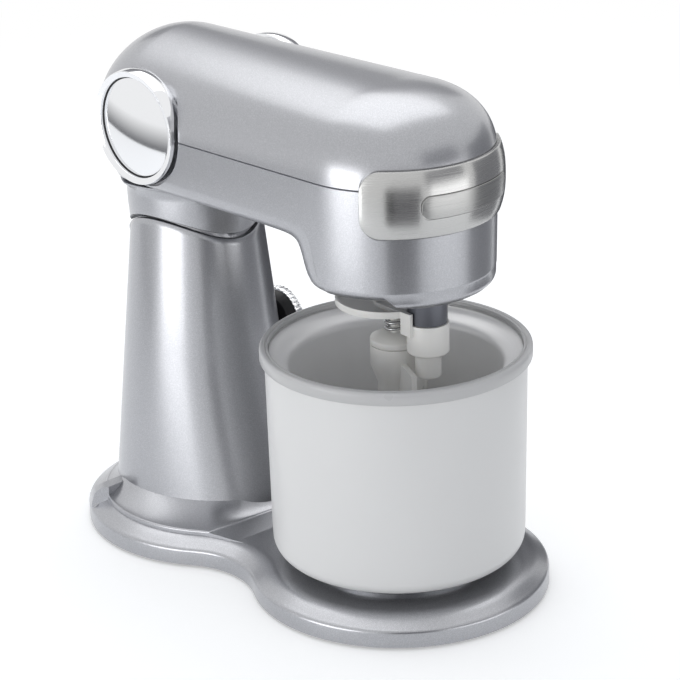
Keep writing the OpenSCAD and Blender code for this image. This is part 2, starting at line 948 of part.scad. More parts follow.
module rotor() {
    color("#9a6a3c")
        translate([0, motor_y, motor_z + 6]) cylinder(r = motor_r - 5, h = 38);
    color("#b9bbbd")
        translate([0, motor_y, motor_z - 8]) cylinder(r = 5, h = belt_z + 8 - motor_z + 8);
    color("#3a3b3f")
        translate([0, motor_y, belt_z - 5]) {
            cylinder(r = motor_pulley_r, h = 10);
            cylinder(r = motor_pulley_r + 2.2, h = 1);
            translate([0, 0, 9]) cylinder(r = motor_pulley_r + 2.2, h = 1);
        }
}

module cooling_fan() {
    color("#e0ded6")
        translate([0, motor_y, motor_z - 14])
            union() {
                ring(9, 5, 6);
                for (i = [0:6])
                    rotate(i * 360 / 7)
                        translate([8, -0.8, 0]) rotate([30, 0, 0]) cube([16, 1.6, 6]);
            }
}

module drive_belt() {
    lean = asin((drive_pulley_r - motor_pulley_r) / motor_y);
    color("#1f2022")
        translate([0, 0, belt_z - 3.6])
            linear_extrude(7.2)
                difference() {
                    belt_outline(1.8, lean);
                    belt_outline(slide_gap, lean);
                }
}

module belt_outline(grow, lean) {
    r1 = drive_pulley_r + grow;
    r2 = motor_pulley_r + grow;
    circle(r1, $fn = 96);
    translate([0, motor_y]) circle(r2, $fn = 96);
    polygon([
        [r1 * cos(lean), r1 * sin(lean)], [r2 * cos(lean), motor_y + r2 * sin(lean)],
        [-r2 * cos(lean), motor_y + r2 * sin(lean)], [-r1 * cos(lean), r1 * sin(lean)]
    ]);
}

// housing that holds the ring gear and the upper bearing, on four posts
module gear_case() {
    top = gear_z + gear_h + 1.5;
    color("#6d6f74")
        difference() {
            union() {
                translate([0, 0, gear_z - 1.5]) cylinder(r = gear_r + 6.5, h = top - gear_z + 4);
                translate([0, 0, top]) cylinder(r = 16, h = 20);
                for (a = [-150, -30, 15, 165])
                    rotate(a)
                        translate([gear_r + 3.4, 0, nose_bottom + head_wall + slide_gap + 1.2])
                            cylinder(r = 4, h = gear_z - nose_bottom - head_wall - 1.9);
            }
            translate([0, 0, gear_z - 2]) cylinder(r = gear_r + 3.6, h = top - gear_z + 2);
            translate([0, 0, gear_z]) cylinder(r = 10.95, h = 60);
        }
}

// toothed outline: one point pair per flank, straight from root to tip
module gear_outline(teeth, m, tip, root, thick) {
    step = 360 / teeth;
    pitch_r = teeth * m / 2;
    polygon([for (i = [0:teeth - 1])
        each [
            polar(pitch_r - root, i * step - step * (thick + 0.16) / 2),
            polar(pitch_r + tip, i * step - step * (thick - 0.18) / 2),
            polar(pitch_r + tip, i * step + step * (thick - 0.18) / 2),
            polar(pitch_r - root, i * step + step * (thick + 0.16) / 2)
        ]]);
}

function polar(r, a) = [r * cos(a), r * sin(a)];

gear_r = ring_teeth * gear_module / 2;

module ring_gear() {
    color("#8d8f96")
        translate([0, 0, gear_z])
            difference() {
                cylinder(r = gear_r + 3.5, h = gear_h + 1.2);
                translate([0, 0, -1])
                    linear_extrude(gear_h + 4)
                        rotate(park_angle)
                            gear_outline(ring_teeth, gear_module, 1.0, 0.55, 0.5);
            }
}

module at_beater() {
    rotate(park_angle)
        translate([beater_offset, 0, 0])
            children();
}

module planet_gear() {
    color("#b08d4a")
        at_beater()
            translate([0, 0, gear_z + 0.6])
                difference() {
                    linear_extrude(gear_h)
                        gear_outline(planet_teeth, gear_module, 0.55, 1.0, 0.38);
                    translate([0, 0, -1]) cylinder(r = 5, h = gear_h + 2);
                }
}

module upper_bearing() {
    color("#c8cacc")
        ring(10.9, 7.1, 8, gear_z + gear_h + 9);
}

module drive_shaft() {
    color("#b9bbbd")
        translate([0, 0, carrier_z + 8]) cylinder(r = 7, h = belt_z - carrier_z);
}

module drive_pulley() {
    color("#3a3b3f")
        difference() {
            union() {
                translate([0, 0, belt_z - 6]) cylinder(r = drive_pulley_r, h = 12);
                ring(drive_pulley_r + 2.2, 20, 1.4, belt_z - 6);
                ring(drive_pulley_r + 2.2, 20, 1.4, belt_z + 4.6);
            }
            translate([0, 0, belt_z - 20]) cylinder(r = 7, h = 60);
            for (i = [0:5])
                rotate(i * 60) translate([24, 0, belt_z - 20]) cylinder(r = 8, h = 60);
        }
}

module planet_carrier() {
    color("#7b7d82")
        difference() {
            union() {
                translate([0, 0, carrier_z]) cylinder(r = carrier_r, h = 7);
                translate([0, 0, carrier_z + 6]) cylinder(r = 12, h = gear_z - carrier_z - 8);
                at_beater() {
                    translate([0, 0, collar_z]) cylinder(r = collar_r, h = carrier_z + 6 - collar_z);
                    translate([0, 0, carrier_z + 6]) cylinder(r = 9, h = gear_z - carrier_z - 7);
                }
                rotate(park_angle)
                    translate([0, -6, carrier_z + 6]) cube([beater_offset, 12, 10]);
            }
            translate([0, 0, carrier_z + 8]) cylinder(r = 7, h = 100);
            at_beater() cylinder(r = shaft_r + hinge_fit, h = 300);
        }
}

shaft_r = 6.5;

module beater_shaft() {
    color("#c8cacc")
        at_beater() {
            translate([0, 0, cup_low + 4.3]) cylinder(r = shaft_r, h = gear_z - cup_low - 4.3);
            translate([0, 0, gear_z - 1]) cylinder(r = 5, h = gear_h + 1.8);
        }
}

// ---- Drive adapter, spring and dasher ----

disc_back = 7;
slot_half = collar_r + 1.5;
slot_end = 10;
skirt = 9;
disc_h = 4.5;
disc_floor = 2;

// everything that the mixer's turning collar carries, in the collar's own frame
module drive_adapter() {
    color("#f1f1ee")
        rotate(park_angle + 90)
            difference() {
                union() {
                    adapter_disc();
                    slot_brackets();
                    translate([0, -beater_offset, 0])
                        rotate_extrude($fn = 96)
                            polygon([
                                [0, pin_low], [drive_pin_r - 1, pin_low], [drive_pin_r, pin_low + 1],
                                [drive_pin_r, cup_low], [cup_r - 1.6, cup_low], [cup_r, cup_low + 1.6],
                                [cup_r, collar_z - 0.4], [0, collar_z - 0.4]
                            ]);
                }
                translate([0, -beater_offset, cup_low + 4]) cylinder(r = shaft_r + 0.1, h = 60);
            }
}

// shallow dish with a walled slot across it, open to the front round the steel collar
module adapter_disc() {
    difference() {
        union() {
            translate([0, disc_back, adapter_z]) cylinder(r = adapter_r, h = disc_h);
            translate([0, 0, adapter_z - skirt])
                linear_extrude(skirt + 1)
                    intersection() {
                        mouth_outline(2);
                        translate([0, disc_back]) circle(adapter_r - 1);
                    }
        }
        translate([0, 0, adapter_z + disc_floor])
            linear_extrude(40)
                difference() {
                    translate([0, disc_back]) circle(adapter_r - 2);
                    slot_outline(2);
                }
        translate([0, 0, adapter_z + disc_floor]) linear_extrude(40) slot_outline(0);
        translate([0, 0, adapter_z - skirt - 1]) linear_extrude(60) mouth_outline(0);
    }
}

// plan of the slot, from its round end behind the axis to the open front
module slot_outline(grow) {
    w = slot_half + grow;
    translate([-w, -80]) square([2 * w, 80 + slot_end - slot_half]);
    translate([0, slot_end - slot_half]) circle(w);
}

// plan of the part of the slot that is open all through, for the steel collar
module mouth_outline(grow) {
    w = slot_half - 0.4 + grow;
    translate([-w, -80]) square([2 * w, 80 - beater_offset]);
    translate([0, -beater_offset]) circle(w);
}

// two upright strips at the mouth of the slot, which hang the cup from the disc
module slot_brackets() {
    for (m = [0, 1])
        mirror([m, 0, 0])
            difference() {
                translate([cup_r - 2.5, -beater_offset - 1, collar_z - 7])
                    cube([slot_half + 2 - cup_r + 2.5, 9, adapter_z + 4.5 - collar_z + 7]);
                translate([0, -beater_offset, 0]) cylinder(r = cup_r - 1.5, h = collar_z - 0.4);
                translate([0, 0, collar_z - 0.4]) linear_extrude(40) mouth_outline(0);
            }
}

module pressure_spring() {
    turns = spring_turns;
    wire = 1;
    seat = cap_top + wire + 0.1;
    height = adapter_z - slide_gap - wire - seat;
    steps = 12;
    sides = 6;
    count = turns * steps;
    color("#b9bbbd")
        polyhedron(
            points = [for (i = [0:count])
                let (a = i * 360 / steps, z = seat + height * i / count)
                each [for (k = [0:sides - 1])
                    let (b = k * 360 / sides, r = spring_r + wire * cos(b))
                    [r * cos(a), r * sin(a), z + wire * sin(b)]]],
            faces = concat(
                [[for (k = [sides - 1:-1:0]) k]],
                [for (i = [0:count - 1]) for (k = [0:sides - 1])
                    let (p = i * sides + k, q = i * sides + (k + 1) % sides)
                    each [[p, q + sides, p + sides], [p, q, q + sides]]],
                [[for (k = [0:sides - 1]) count * sides + k]]
            ));
}

post_r = 3;
cap_h = 7.4;
cap_groove = cap_top - cap_h;

module dasher_cap() {
    color("#f1f1ee")
        difference() {
            union() {
                translate([0, 0, cap_groove]) cylinder(r = cap_r, h = cap_h - 3.4);
                translate([0, 0, cap_top - 3.4]) cylinder(r1 = cap_r, r2 = cap_r - 6.4, h = 3.4);
                translate([0, 0, cap_top]) cylinder(r = post_r, h = 12);
            }
            translate([0, 0, cap_groove - 1]) cylinder(r = 9.05, h = 5);
        }
}

arm_reach = cavity_foot_r - 2.5;
arm_low = liner_floor + 2.5;
arm_high = shoulder_z - 14;
arm_t = 3.2;
hub_r = 12;
hub_top = cap_groove - slide_gap;

module dasher() {
    color("#f1f1ee")
        difference() {
            union() {
                dasher_hub();
                for (i = [0:arm_count - 1])
                    rotate(i * 360 / arm_count + dasher_turn) dasher_arm();
                drive_fin();
            }
            translate([0, 0, arm_low - 10]) cylinder(r = post_foot_r + 0.4, h = liner_floor + post_h - arm_low + 10.3);
        }
}

// hub in one turned profile, with a neck under its head and a spigot for the cap
module dasher_hub() {
    rotate_extrude($fn = 96)
        polygon([
            [0, arm_low], [16, arm_low], [16, arm_low + 5], [hub_r, arm_low + 11],
            [hub_r, hub_top - 27], [cap_r, hub_top - 14], [cap_r, hub_top],
            [9, hub_top], [9, hub_top + 3], [0, hub_top + 3]
        ]);
}

dasher_turn = 26;

// open frame with a slanted scraper edge along the bowl wall
module dasher_arm() {
    rotate([90, 0, 0])
        linear_extrude(arm_t, center = true)
            difference() {
                polygon([
                    [9, arm_low + 0.6], [arm_reach - 8, arm_low + 0.6], [arm_reach, arm_low + 8],
                    [arm_reach + 0.8, arm_high], [arm_reach - 6, arm_high + 2],
                    [arm_reach - 9, arm_high - 12], [9, arm_high - 20]
                ]);
                polygon([
                    [18, arm_low + 9], [arm_reach - 12, arm_low + 9],
                    [arm_reach - 8, arm_low + 16], [arm_reach - 9, arm_high - 26], [18, arm_high - 34]
                ]);
            }
}

// upright fin beside the hub that the drive pin pushes against
module drive_fin() {
    rotate(park_angle - 25)
        translate([hub_r - 3, -1.8, arm_low + 40])
            cube([30, 3.6, pin_low + 5 - arm_low - 40]);
}

// ---- Freezer bowl ----

module bowl_shell() {
    c = 11;
    foot_r = bowl_r - bowl_taper;
    color("#f0f0ee")
        rotate_extrude($fn = 144)
            difference() {
                union() {
                    polygon([
                        [0, bowl_bottom + c], [foot_r, bowl_bottom + c], [bowl_r, rim_under],
                        [0, rim_under]
                    ]);
                    translate([0, bowl_bottom]) square([foot_r - c, c + 1]);
                    translate([foot_r - c, bowl_bottom + c]) circle(c);
                }
                polygon([
                    [0, bowl_bottom + c], [foot_r - bowl_wall, bowl_bottom + c],
                    [bowl_r - bowl_wall, rim_under + 1], [0, rim_under + 1]
                ]);
                translate([0, bowl_bottom + bowl_wall]) square([foot_r - c, c]);
                translate([foot_r - c, bowl_bottom + c]) circle(c - bowl_wall);
                translate([-200, 0]) square([200, 300]);
            }
}

module bowl_rim() {
    color("#b9bab8")
        rotate_extrude($fn = 144)
            polygon([
                [bowl_r - 2.9, rim_under], [rim_r - 0.8, rim_under], [rim_r, rim_under + 0.8],
                [rim_r, rim_top - 1.6], [rim_r - 1.2, rim_top - 0.3], [rim_r - 2.6, rim_top],
                [rim_r - 4.4, rim_top - 0.3], [rim_r - 6.3, rim_top - 1.8],
                [rim_r - 6.3, rim_top - 5.2], [bowl_r - 2.9, rim_top - 5.2]
            ]);
}

// spun aluminium liner: sloping shoulder, then a nearly straight cavity
module bowl_liner() {
    t = 1.6;
    lip_r = rim_r - 6.3 - 0.05;
    color("#c9c8c5")
        rotate_extrude($fn = 144)
            polygon([
                [0, liner_floor - t], [cavity_foot_r - 4, liner_floor - t],
                [cavity_foot_r + t, liner_floor + 4], [cavity_r + t, shoulder_z - 4],
                [cavity_r + 4, shoulder_z - t], [lip_r, rim_top - 5],
                [lip_r, rim_top - 3], [cavity_r + 3, shoulder_z + 1], [cavity_r, shoulder_z - 3],
                [cavity_foot_r, liner_floor + 5], [cavity_foot_r - 5, liner_floor],
                [post_foot_r, liner_floor], [post_foot_r, liner_floor + post_h - 2],
                [3, liner_floor + post_h], [0, liner_floor + post_h]
            ]);
}

module coolant() {
    color("#7fb2d9")
        rotate_extrude($fn = 96)
            polygon([
                [0, bowl_bottom + bowl_wall + 0.2], [bowl_r - bowl_taper - 13, bowl_bottom + bowl_wall + 0.2],
                [bowl_r - bowl_taper - bowl_wall - 0.6, bowl_bottom + 13],
                [bowl_r - bowl_wall - 1, shoulder_z - 8], [cavity_r + 2, shoulder_z - 8],
                [cavity_foot_r + 2.4, liner_floor + 3], [cavity_foot_r - 3, liner_floor - 2.4],
                [0, liner_floor - 2.4]
            ]);
}

module bowl_foot() {
    color("#55575c")
        union() {
            ring(foot_ring_r, 36, bowl_bottom - seat_floor, seat_floor);
            for (i = [0:lug_count - 1])
                rotate(i * 360 / lug_count + 30)
                    intersection() {
                        ring(lug_r, foot_ring_r - 1, 2, seat_floor);
                        sector(lug_r + 5, 0, lug_angle, 10, seat_floor - 2);
                    }
        }
}

base_casting();
base_cover();
rubber_feet();
bowl_seat_ring();
cord_gland();
column_shell();
column_plate();
hinge_pin();
control_board();
speed_dial();
dial_ring();
latch_lever();
head_lower_shell();
head_upper_shell();
left_bezel();
left_cap();
right_bezel();
right_cap();
nose_band();
badge_panel();
outlet_socket();
arch_screws();
motor_can();
motor_bracket();
rotor();
cooling_fan();
drive_belt();
gear_case();
ring_gear();
upper_bearing();
drive_shaft();
drive_pulley();
planet_carrier();
beater_shaft();
planet_gear();
drive_adapter();
pressure_spring();
dasher();
dasher_cap();
bowl_shell();
bowl_rim();
bowl_liner();
coolant();
bowl_foot();
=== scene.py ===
# Ice cream maker: a tilt-head mixer that turns a dasher in a freezer bowl, dressed piece by piece
# in the order in which it is put together. Sizes are written in millimetres, times mm.
import math

import bmesh
import bpy
from mathutils import Matrix, Vector


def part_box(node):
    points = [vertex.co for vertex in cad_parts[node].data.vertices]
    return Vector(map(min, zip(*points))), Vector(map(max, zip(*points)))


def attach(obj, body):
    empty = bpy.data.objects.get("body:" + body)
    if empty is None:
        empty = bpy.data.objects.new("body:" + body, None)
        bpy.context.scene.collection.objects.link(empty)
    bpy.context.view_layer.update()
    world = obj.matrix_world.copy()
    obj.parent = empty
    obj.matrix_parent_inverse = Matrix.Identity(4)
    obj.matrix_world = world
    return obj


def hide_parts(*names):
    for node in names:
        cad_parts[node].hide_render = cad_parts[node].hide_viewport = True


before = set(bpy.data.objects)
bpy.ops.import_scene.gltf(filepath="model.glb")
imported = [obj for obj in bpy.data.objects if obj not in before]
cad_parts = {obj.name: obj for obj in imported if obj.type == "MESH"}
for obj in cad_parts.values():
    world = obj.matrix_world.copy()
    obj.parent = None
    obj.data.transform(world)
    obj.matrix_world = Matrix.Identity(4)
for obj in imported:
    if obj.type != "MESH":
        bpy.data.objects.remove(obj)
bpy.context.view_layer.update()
mm = 0.001


# ---- Studio ----
# A white sweep, three soft boxes, grey cards that show only in reflections, and a camera that
# looks down on the left front corner.

def colour(hex_value):
    """sRGB hex to the linear colour that a shader socket takes"""
    parts = [int(hex_value[i:i + 2], 16) / 255 for i in (1, 3, 5)]
    return [p / 12.92 if p <= 0.04045 else ((p + 0.055) / 1.055) ** 2.4 for p in parts] + [1.0]


def add_node(tree, kind, feeds=None, **settings):
    """one shader node with its settings, and a value or a link for each named socket"""
    made = tree.nodes.new(kind)
    for key, value in settings.items():
        setattr(made, key, value)
    for socket, value in (feeds or {}).items():
        if isinstance(value, bpy.types.NodeSocket):
            tree.links.new(value, made.inputs[socket])
        else:
            made.inputs[socket].default_value = value
    return made


def new_material(name):
    """a material with an empty node tree"""
    made = bpy.data.materials.new(name)
    made.use_nodes = True
    made.node_tree.nodes.clear()
    return made, made.node_tree


def principled(made, feeds):
    """ends a material with a principled shader and returns it"""
    shader = add_node(made.node_tree, "ShaderNodeBsdfPrincipled", feeds)
    add_node(made.node_tree, "ShaderNodeOutputMaterial", {"Surface": shader.outputs[0]})
    return made


def showing_rays(tree):
    """1 for the rays that show the studio itself: camera, transmission and glossy rays"""
    ray = add_node(tree, "ShaderNodeLightPath")
    eyes = add_node(tree, "ShaderNodeMath",
                    {0: ray.outputs["Is Camera Ray"], 1: ray.outputs["Is Transmission Ray"]},
                    operation="MAXIMUM")
    return add_node(tree, "ShaderNodeMath", {0: eyes.outputs[0], 1: ray.outputs["Is Glossy Ray"]},
                    operation="MAXIMUM").outputs[0]


scene = bpy.context.scene
scene.view_settings.view_transform = "Standard"

bearing, height_angle, roll = (math.radians(a) for a in (-44.3, 21.5, 1.6))
camera_distance, focal_length = 1583 * mm, 125.9
back = Vector((math.sin(bearing) * math.cos(height_angle),
               -math.cos(bearing) * math.cos(height_angle), math.sin(height_angle)))
right = Vector((math.cos(bearing), math.sin(bearing), 0))
up = back.cross(right)
aim = Vector((0, 60, 156.6)) * mm + right * 6 * mm
eye = aim + back * camera_distance
view = bpy.data.cameras.new("studio_camera")
view.lens = focal_length
view.sensor_width = 36
view.clip_end = 50
camera = bpy.data.objects.new("studio_camera", view)
rolled_right = right * math.cos(roll) - up * math.sin(roll)
rolled_up = up * math.cos(roll) + right * math.sin(roll)
camera.matrix_world = Matrix((
    (rolled_right.x, rolled_up.x, back.x, eye.x),
    (rolled_right.y, rolled_up.y, back.y, eye.y),
    (rolled_right.z, rolled_up.z, back.z, eye.z),
    (0, 0, 0, 1)))
scene.collection.objects.link(camera)
scene.camera = camera

world = bpy.data.worlds.new("white_sweep")
scene.world = world
world.use_nodes = True
sky = world.node_tree
sky.nodes.clear()
soft = add_node(sky, "ShaderNodeBackground", {"Color": colour("#e9ebf0"), "Strength": 0.68})
white = add_node(sky, "ShaderNodeBackground", {"Color": (1, 1, 1, 1), "Strength": 1.0})
mixed = add_node(sky, "ShaderNodeMixShader", {0: showing_rays(sky), 1: soft.outputs[0], 2: white.outputs[0]})
add_node(sky, "ShaderNodeOutputWorld", {"Surface": mixed.outputs[0]})


def stage_sheet(name, material, matrix, reflected_only=False):
    """a flat sheet of the studio; one that is only reflected is seen by glossy rays alone"""
    mesh = bpy.data.meshes.new(name)
    shape = bmesh.new()
    bmesh.ops.create_grid(shape, x_segments=1, y_segments=1, size=0.5, matrix=matrix)
    shape.to_mesh(mesh)
    shape.free()
    mesh.materials.append(material)
    sheet = bpy.data.objects.new(name, mesh)
    scene.collection.objects.link(sheet)
    if reflected_only:
        sheet.visible_camera = sheet.visible_diffuse = False
        sheet.visible_shadow = sheet.visible_transmission = False


paper, tree = new_material("white paper sweep")
matt = add_node(tree, "ShaderNodeBsdfDiffuse", {"Color": colour("#eceded")})
glow = add_node(tree, "ShaderNodeEmission", {"Color": (1, 1, 1, 1), "Strength": 0.35})
lit = add_node(tree, "ShaderNodeAddShader", {0: matt.outputs[0], 1: glow.outputs[0]})
# the paper turns pure white between 0.55 and 1.7 m away, so that it meets the sky without a line
place = add_node(tree, "ShaderNodeTexCoord")
away = add_node(tree, "ShaderNodeVectorMath", {0: place.outputs["Object"]}, operation="LENGTH")
far = add_node(tree, "ShaderNodeMapRange",
               {"Value": away.outputs["Value"], "From Min": 0.55, "From Max": 1.7},
               interpolation_type="SMOOTHSTEP")
blank = add_node(tree, "ShaderNodeEmission", {"Color": (1, 1, 1, 1), "Strength": 1.0})
faded = add_node(tree, "ShaderNodeMixShader", {0: far.outputs[0], 1: lit.outputs[0], 2: blank.outputs[0]})
mixed = add_node(tree, "ShaderNodeMixShader",
                 {0: showing_rays(tree), 1: matt.outputs[0], 2: faded.outputs[0]})
add_node(tree, "ShaderNodeOutputMaterial", {"Surface": mixed.outputs[0]})
floor_side = 80
stage_sheet("studio_floor", paper, Matrix.Diagonal((floor_side, floor_side, 1, 1)))


def soft_box(name, place, target, size, power):
    """a soft rectangular lamp at a place, turned to its target"""
    lamp = bpy.data.lights.new(name, "AREA")
    lamp.shape = "RECTANGLE"
    lamp.size, lamp.size_y = size
    lamp.energy = power
    holder = bpy.data.objects.new(name, lamp)
    facing = (Vector(place) - Vector(target)).normalized().to_track_quat("Z", "Y")
    holder.matrix_world = Matrix.Translation(Vector(place)) @ facing.to_matrix().to_4x4()
    scene.collection.objects.link(holder)


soft_box("left_box", (-0.9, 0.1, 0.15), (0, 0.1, 0.15), (0.6, 0.3), 2.0)
soft_box("front_box", (0.2, -0.95, 0.14), (0, 0, 0.25), (0.75, 0.28), 0.85)
soft_box("top_box", (0.45, 0.68, 1.6), (0.45, 0.68, 0), (1.7, 1.75), 12)


def grey_card(name, start, end, low_edge, height, foot_hex, head_hex):
    """an upright card between two places on the floor, shaded from foot to head, seen only in reflections"""
    paint, tree = new_material(name)
    place = add_node(tree, "ShaderNodeTexCoord")
    level = add_node(tree, "ShaderNodeSeparateXYZ", {0: place.outputs["Object"]})
    share = add_node(tree, "ShaderNodeMapRange",
                     {"Value": level.outputs[2], "From Min": low_edge, "From Max": low_edge + height})
    shade = add_node(tree, "ShaderNodeMix",
                     {"Factor": share.outputs[0], 6: colour(foot_hex), 7: colour(head_hex)}, data_type="RGBA")
    tone = add_node(tree, "ShaderNodeEmission", {"Color": shade.outputs[2], "Strength": 1.0})
    add_node(tree, "ShaderNodeOutputMaterial", {"Surface": tone.outputs[0]})
    run = Vector((*end, 0)) - Vector((*start, 0))
    middle = Vector((*start, low_edge + height / 2)) + run / 2
    stage_sheet(name, paint,
                Matrix.Translation(middle) @ Matrix.Rotation(math.atan2(run.y, run.x), 4, "Z")
                @ Matrix.Rotation(math.pi / 2, 4, "X") @ Matrix.Diagonal((run.length, height, 1, 1)),
                reflected_only=True)


grey_card("dark_card", (-0.359, -0.271), (-0.318, -0.318), 0.004, 0.29, "#26272a", "#26272a")
grey_card("middle_card", (-0.318, -0.318), (-0.154, -0.423), 0.004, 0.29, "#717175", "#717175")
grey_card("right_card", (0.277, -0.355), (0.449, -0.031), 0.004, 0.4, "#8f9094", "#8f9094")
grey_card("far_right_card", (0.448, 0.039), (0.258, 0.369), 0.004, 0.28, "#505156", "#505156")
grey_card("lid_card", (-0.206, -0.825), (0.399, -0.75), 0.33, 0.37, "#6a6b70", "#c8c8cc")
grey_card("back_card", (1.381, 0.586), (0.438, 1.434), 0.67, 0.53, "#7c7c80", "#9c9ca0")
grey_card("back_left_card", (-0.654, 0.505), (-0.45, 1.135), 0.002, 0.13, "#5c5d61", "#ffffff")


# ---- Base casting ----
# The stand's foot: one die-cast aluminium shell with a rounded edge, a raised plate under the
# column and a higher back, sprayed with silver flake lacquer and fixed to a plastic cover below.

def new_piece(name, shape, body, material, nodes=(), sharp=32):
    mesh = bpy.data.meshes.new(name)
    for face in shape.faces:
        face.smooth = True
    shape.to_mesh(mesh)
    shape.free()
    mesh.set_sharp_from_angle(angle=math.radians(sharp))
    mesh.materials.append(material)
    piece = bpy.data.objects.new(name, mesh)
    scene.collection.objects.link(piece)
    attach(piece, body)
    if nodes:
        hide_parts(*nodes)
    return piece


def flake_lacquer(name, body_hex, flake_hex):
    """silver flake lacquer under a clear coat: broad soft highlights, and a faint sparkle of flakes"""
    made, tree = new_material(name)
    place = add_node(tree, "ShaderNodeTexCoord")
    # flakes are about 0.05 mm; drawn at 0.5 mm so that they show at all
    flake_size = 0.5 * mm
    flakes = add_node(tree, "ShaderNodeTexVoronoi",
                      {"Vector": place.outputs["Object"], "Scale": 1 / flake_size})
    share = add_node(tree, "ShaderNodeMapRange",
                     {"Value": flakes.outputs["Distance"], "From Min": 0.15, "From Max": 0.75})
    mix = add_node(tree, "ShaderNodeMix",
                   {"Factor": share.outputs[0], 6: colour(body_hex), 7: colour(flake_hex)}, data_type="RGBA")
    # slow waves of the sprayed film, about 4 mm apart, some microns deep
    orange_peel = add_node(tree, "ShaderNodeTexNoise",
                           {"Vector": place.outputs["Object"], "Scale": 260.0, "Detail": 2.0})
    relief = add_node(tree, "ShaderNodeBump",
                      {"Height": orange_peel.outputs[0], "Strength": 0.04, "Distance": 0.4 * mm})
    return principled(made, {"Base Color": mix.outputs[2], "Metallic": 0.86, "Roughness": 0.3,
                             "Coat Weight": 0.3, "Coat Roughness": 0.1, "Normal": relief.outputs[0]})


silver = flake_lacquer("silver flake lacquer", "#9d9ea2", "#b5b6ba")

base_r, span, waist_half = 100 * mm, 170 * mm, 75 * mm
waist_r = (waist_half ** 2 + (span / 2) ** 2 - base_r ** 2) / (2 * (base_r - waist_half))
waist_x = waist_half + waist_r
tangent = math.atan2(span / 2, waist_x)


def base_plan(shape, inset, z):
    """one face with the base's outline, drawn in by inset: two discs joined by hollow waists"""
    points = []
    for centre, radius, first, last, count in (
            ((0, 0), base_r - inset, math.pi - tangent, 2 * math.pi + tangent, 96),
            ((waist_x, span / 2), waist_r + inset, math.pi + tangent, math.pi - tangent, 20),
            ((0, span), base_r - inset, -tangent, math.pi + tangent, 96),
            ((-waist_x, span / 2), waist_r + inset, tangent, -tangent, 20)):
        for i in range(count):
            a = first + (last - first) * i / count
            x, y = centre[0] + radius * math.cos(a), centre[1] + radius * math.sin(a)
            points.append(shape.verts.new((x, y, z)))
    return shape.faces.new(points)


def only(kind, geometry):
    """the faces, edges or points in what an operator gives back"""
    return [g for g in geometry if isinstance(g, kind)]


def lift(shape, faces, height):
    """extrudes faces straight up and returns the new top faces"""
    grown = bmesh.ops.extrude_face_region(shape, geom=faces)["geom"]
    bmesh.ops.delete(shape, geom=faces, context="FACES_ONLY")
    bmesh.ops.translate(shape, verts=only(bmesh.types.BMVert, grown), vec=(0, 0, height))
    return only(bmesh.types.BMFace, grown)


def slice_at(shape, place, normal, **how):
    """cuts a shape's skin along a plane and returns the cut's edges"""
    made = bmesh.ops.bisect_plane(shape, geom=shape.verts[:] + shape.edges[:] + shape.faces[:],
                                  plane_co=place, plane_no=normal, **how)
    return only(bmesh.types.BMEdge, made["geom_cut"])


def turned(profile, segments=128, centre_y=0.0, shape=None):
    """spins an outline of (radius, height) in mm round an upright axis"""
    if shape is None:
        shape = bmesh.new()
    points = [shape.verts.new((r * mm, centre_y, z * mm)) for r, z in profile]
    edges = [shape.edges.new(pair) for pair in zip(points, points[1:])]
    bmesh.ops.spin(shape, geom=points + edges, cent=(0, centre_y, 0), axis=(0, 0, 1),
                   angle=2 * math.pi, steps=segments, use_merge=True)
    return shape


def arc(cx, cz, radius, first, last, steps=8):
    """points of a rounded corner, angles in degrees"""
    turns = [math.radians(first + (last - first) * i / steps) for i in range(steps + 1)]
    return [(cx + radius * math.cos(a), cz + radius * math.sin(a)) for a in turns]


def face_out(shape):
    """turns all faces outwards; a shell with a negative volume was inside out"""
    bmesh.ops.recalc_face_normals(shape, faces=shape.faces)
    if shape.calc_volume(signed=True) < 0:
        bmesh.ops.reverse_faces(shape, faces=shape.faces)


def tidy(shape):
    """welds doubled points and turns all faces outwards"""
    bmesh.ops.remove_doubles(shape, verts=shape.verts, dist=1e-6)
    bmesh.ops.dissolve_degenerate(shape, edges=shape.edges, dist=1e-7)
    face_out(shape)


# the skirt, and its rounded upper edge row by row: how far each row goes in and up, in mm
skirt_z, skirt_h, lip_w, cover_recess = 2 * mm, 9.5 * mm, 4.2 * mm, 2.6 * mm
edge_rows = ((0.25, 0.9), (0.45, 0.75), (0.7, 0.55), (1.1, 0.6), (2.1, 1.2), (2.9, 1.7), (2.5, 1.25),
             (2.4, 0.85), (2.4, 0.5), (3.2, 0.2))
shape = bmesh.new()
top = [base_plan(shape, 0, skirt_z)]
under = only(bmesh.types.BMFace, bmesh.ops.duplicate(shape, geom=top)["geom"])
top = lift(shape, top, skirt_h)
for step, rise in edge_rows:
    bmesh.ops.inset_region(shape, faces=top, thickness=step * mm, depth=rise * mm, use_even_offset=True)
bmesh.ops.reverse_faces(shape, faces=under)
bmesh.ops.inset_region(shape, faces=under, thickness=lip_w, depth=0, use_even_offset=True)
bmesh.ops.inset_region(shape, faces=under, thickness=0.1 * mm, depth=-cover_recess, use_even_offset=True)
tidy(shape)

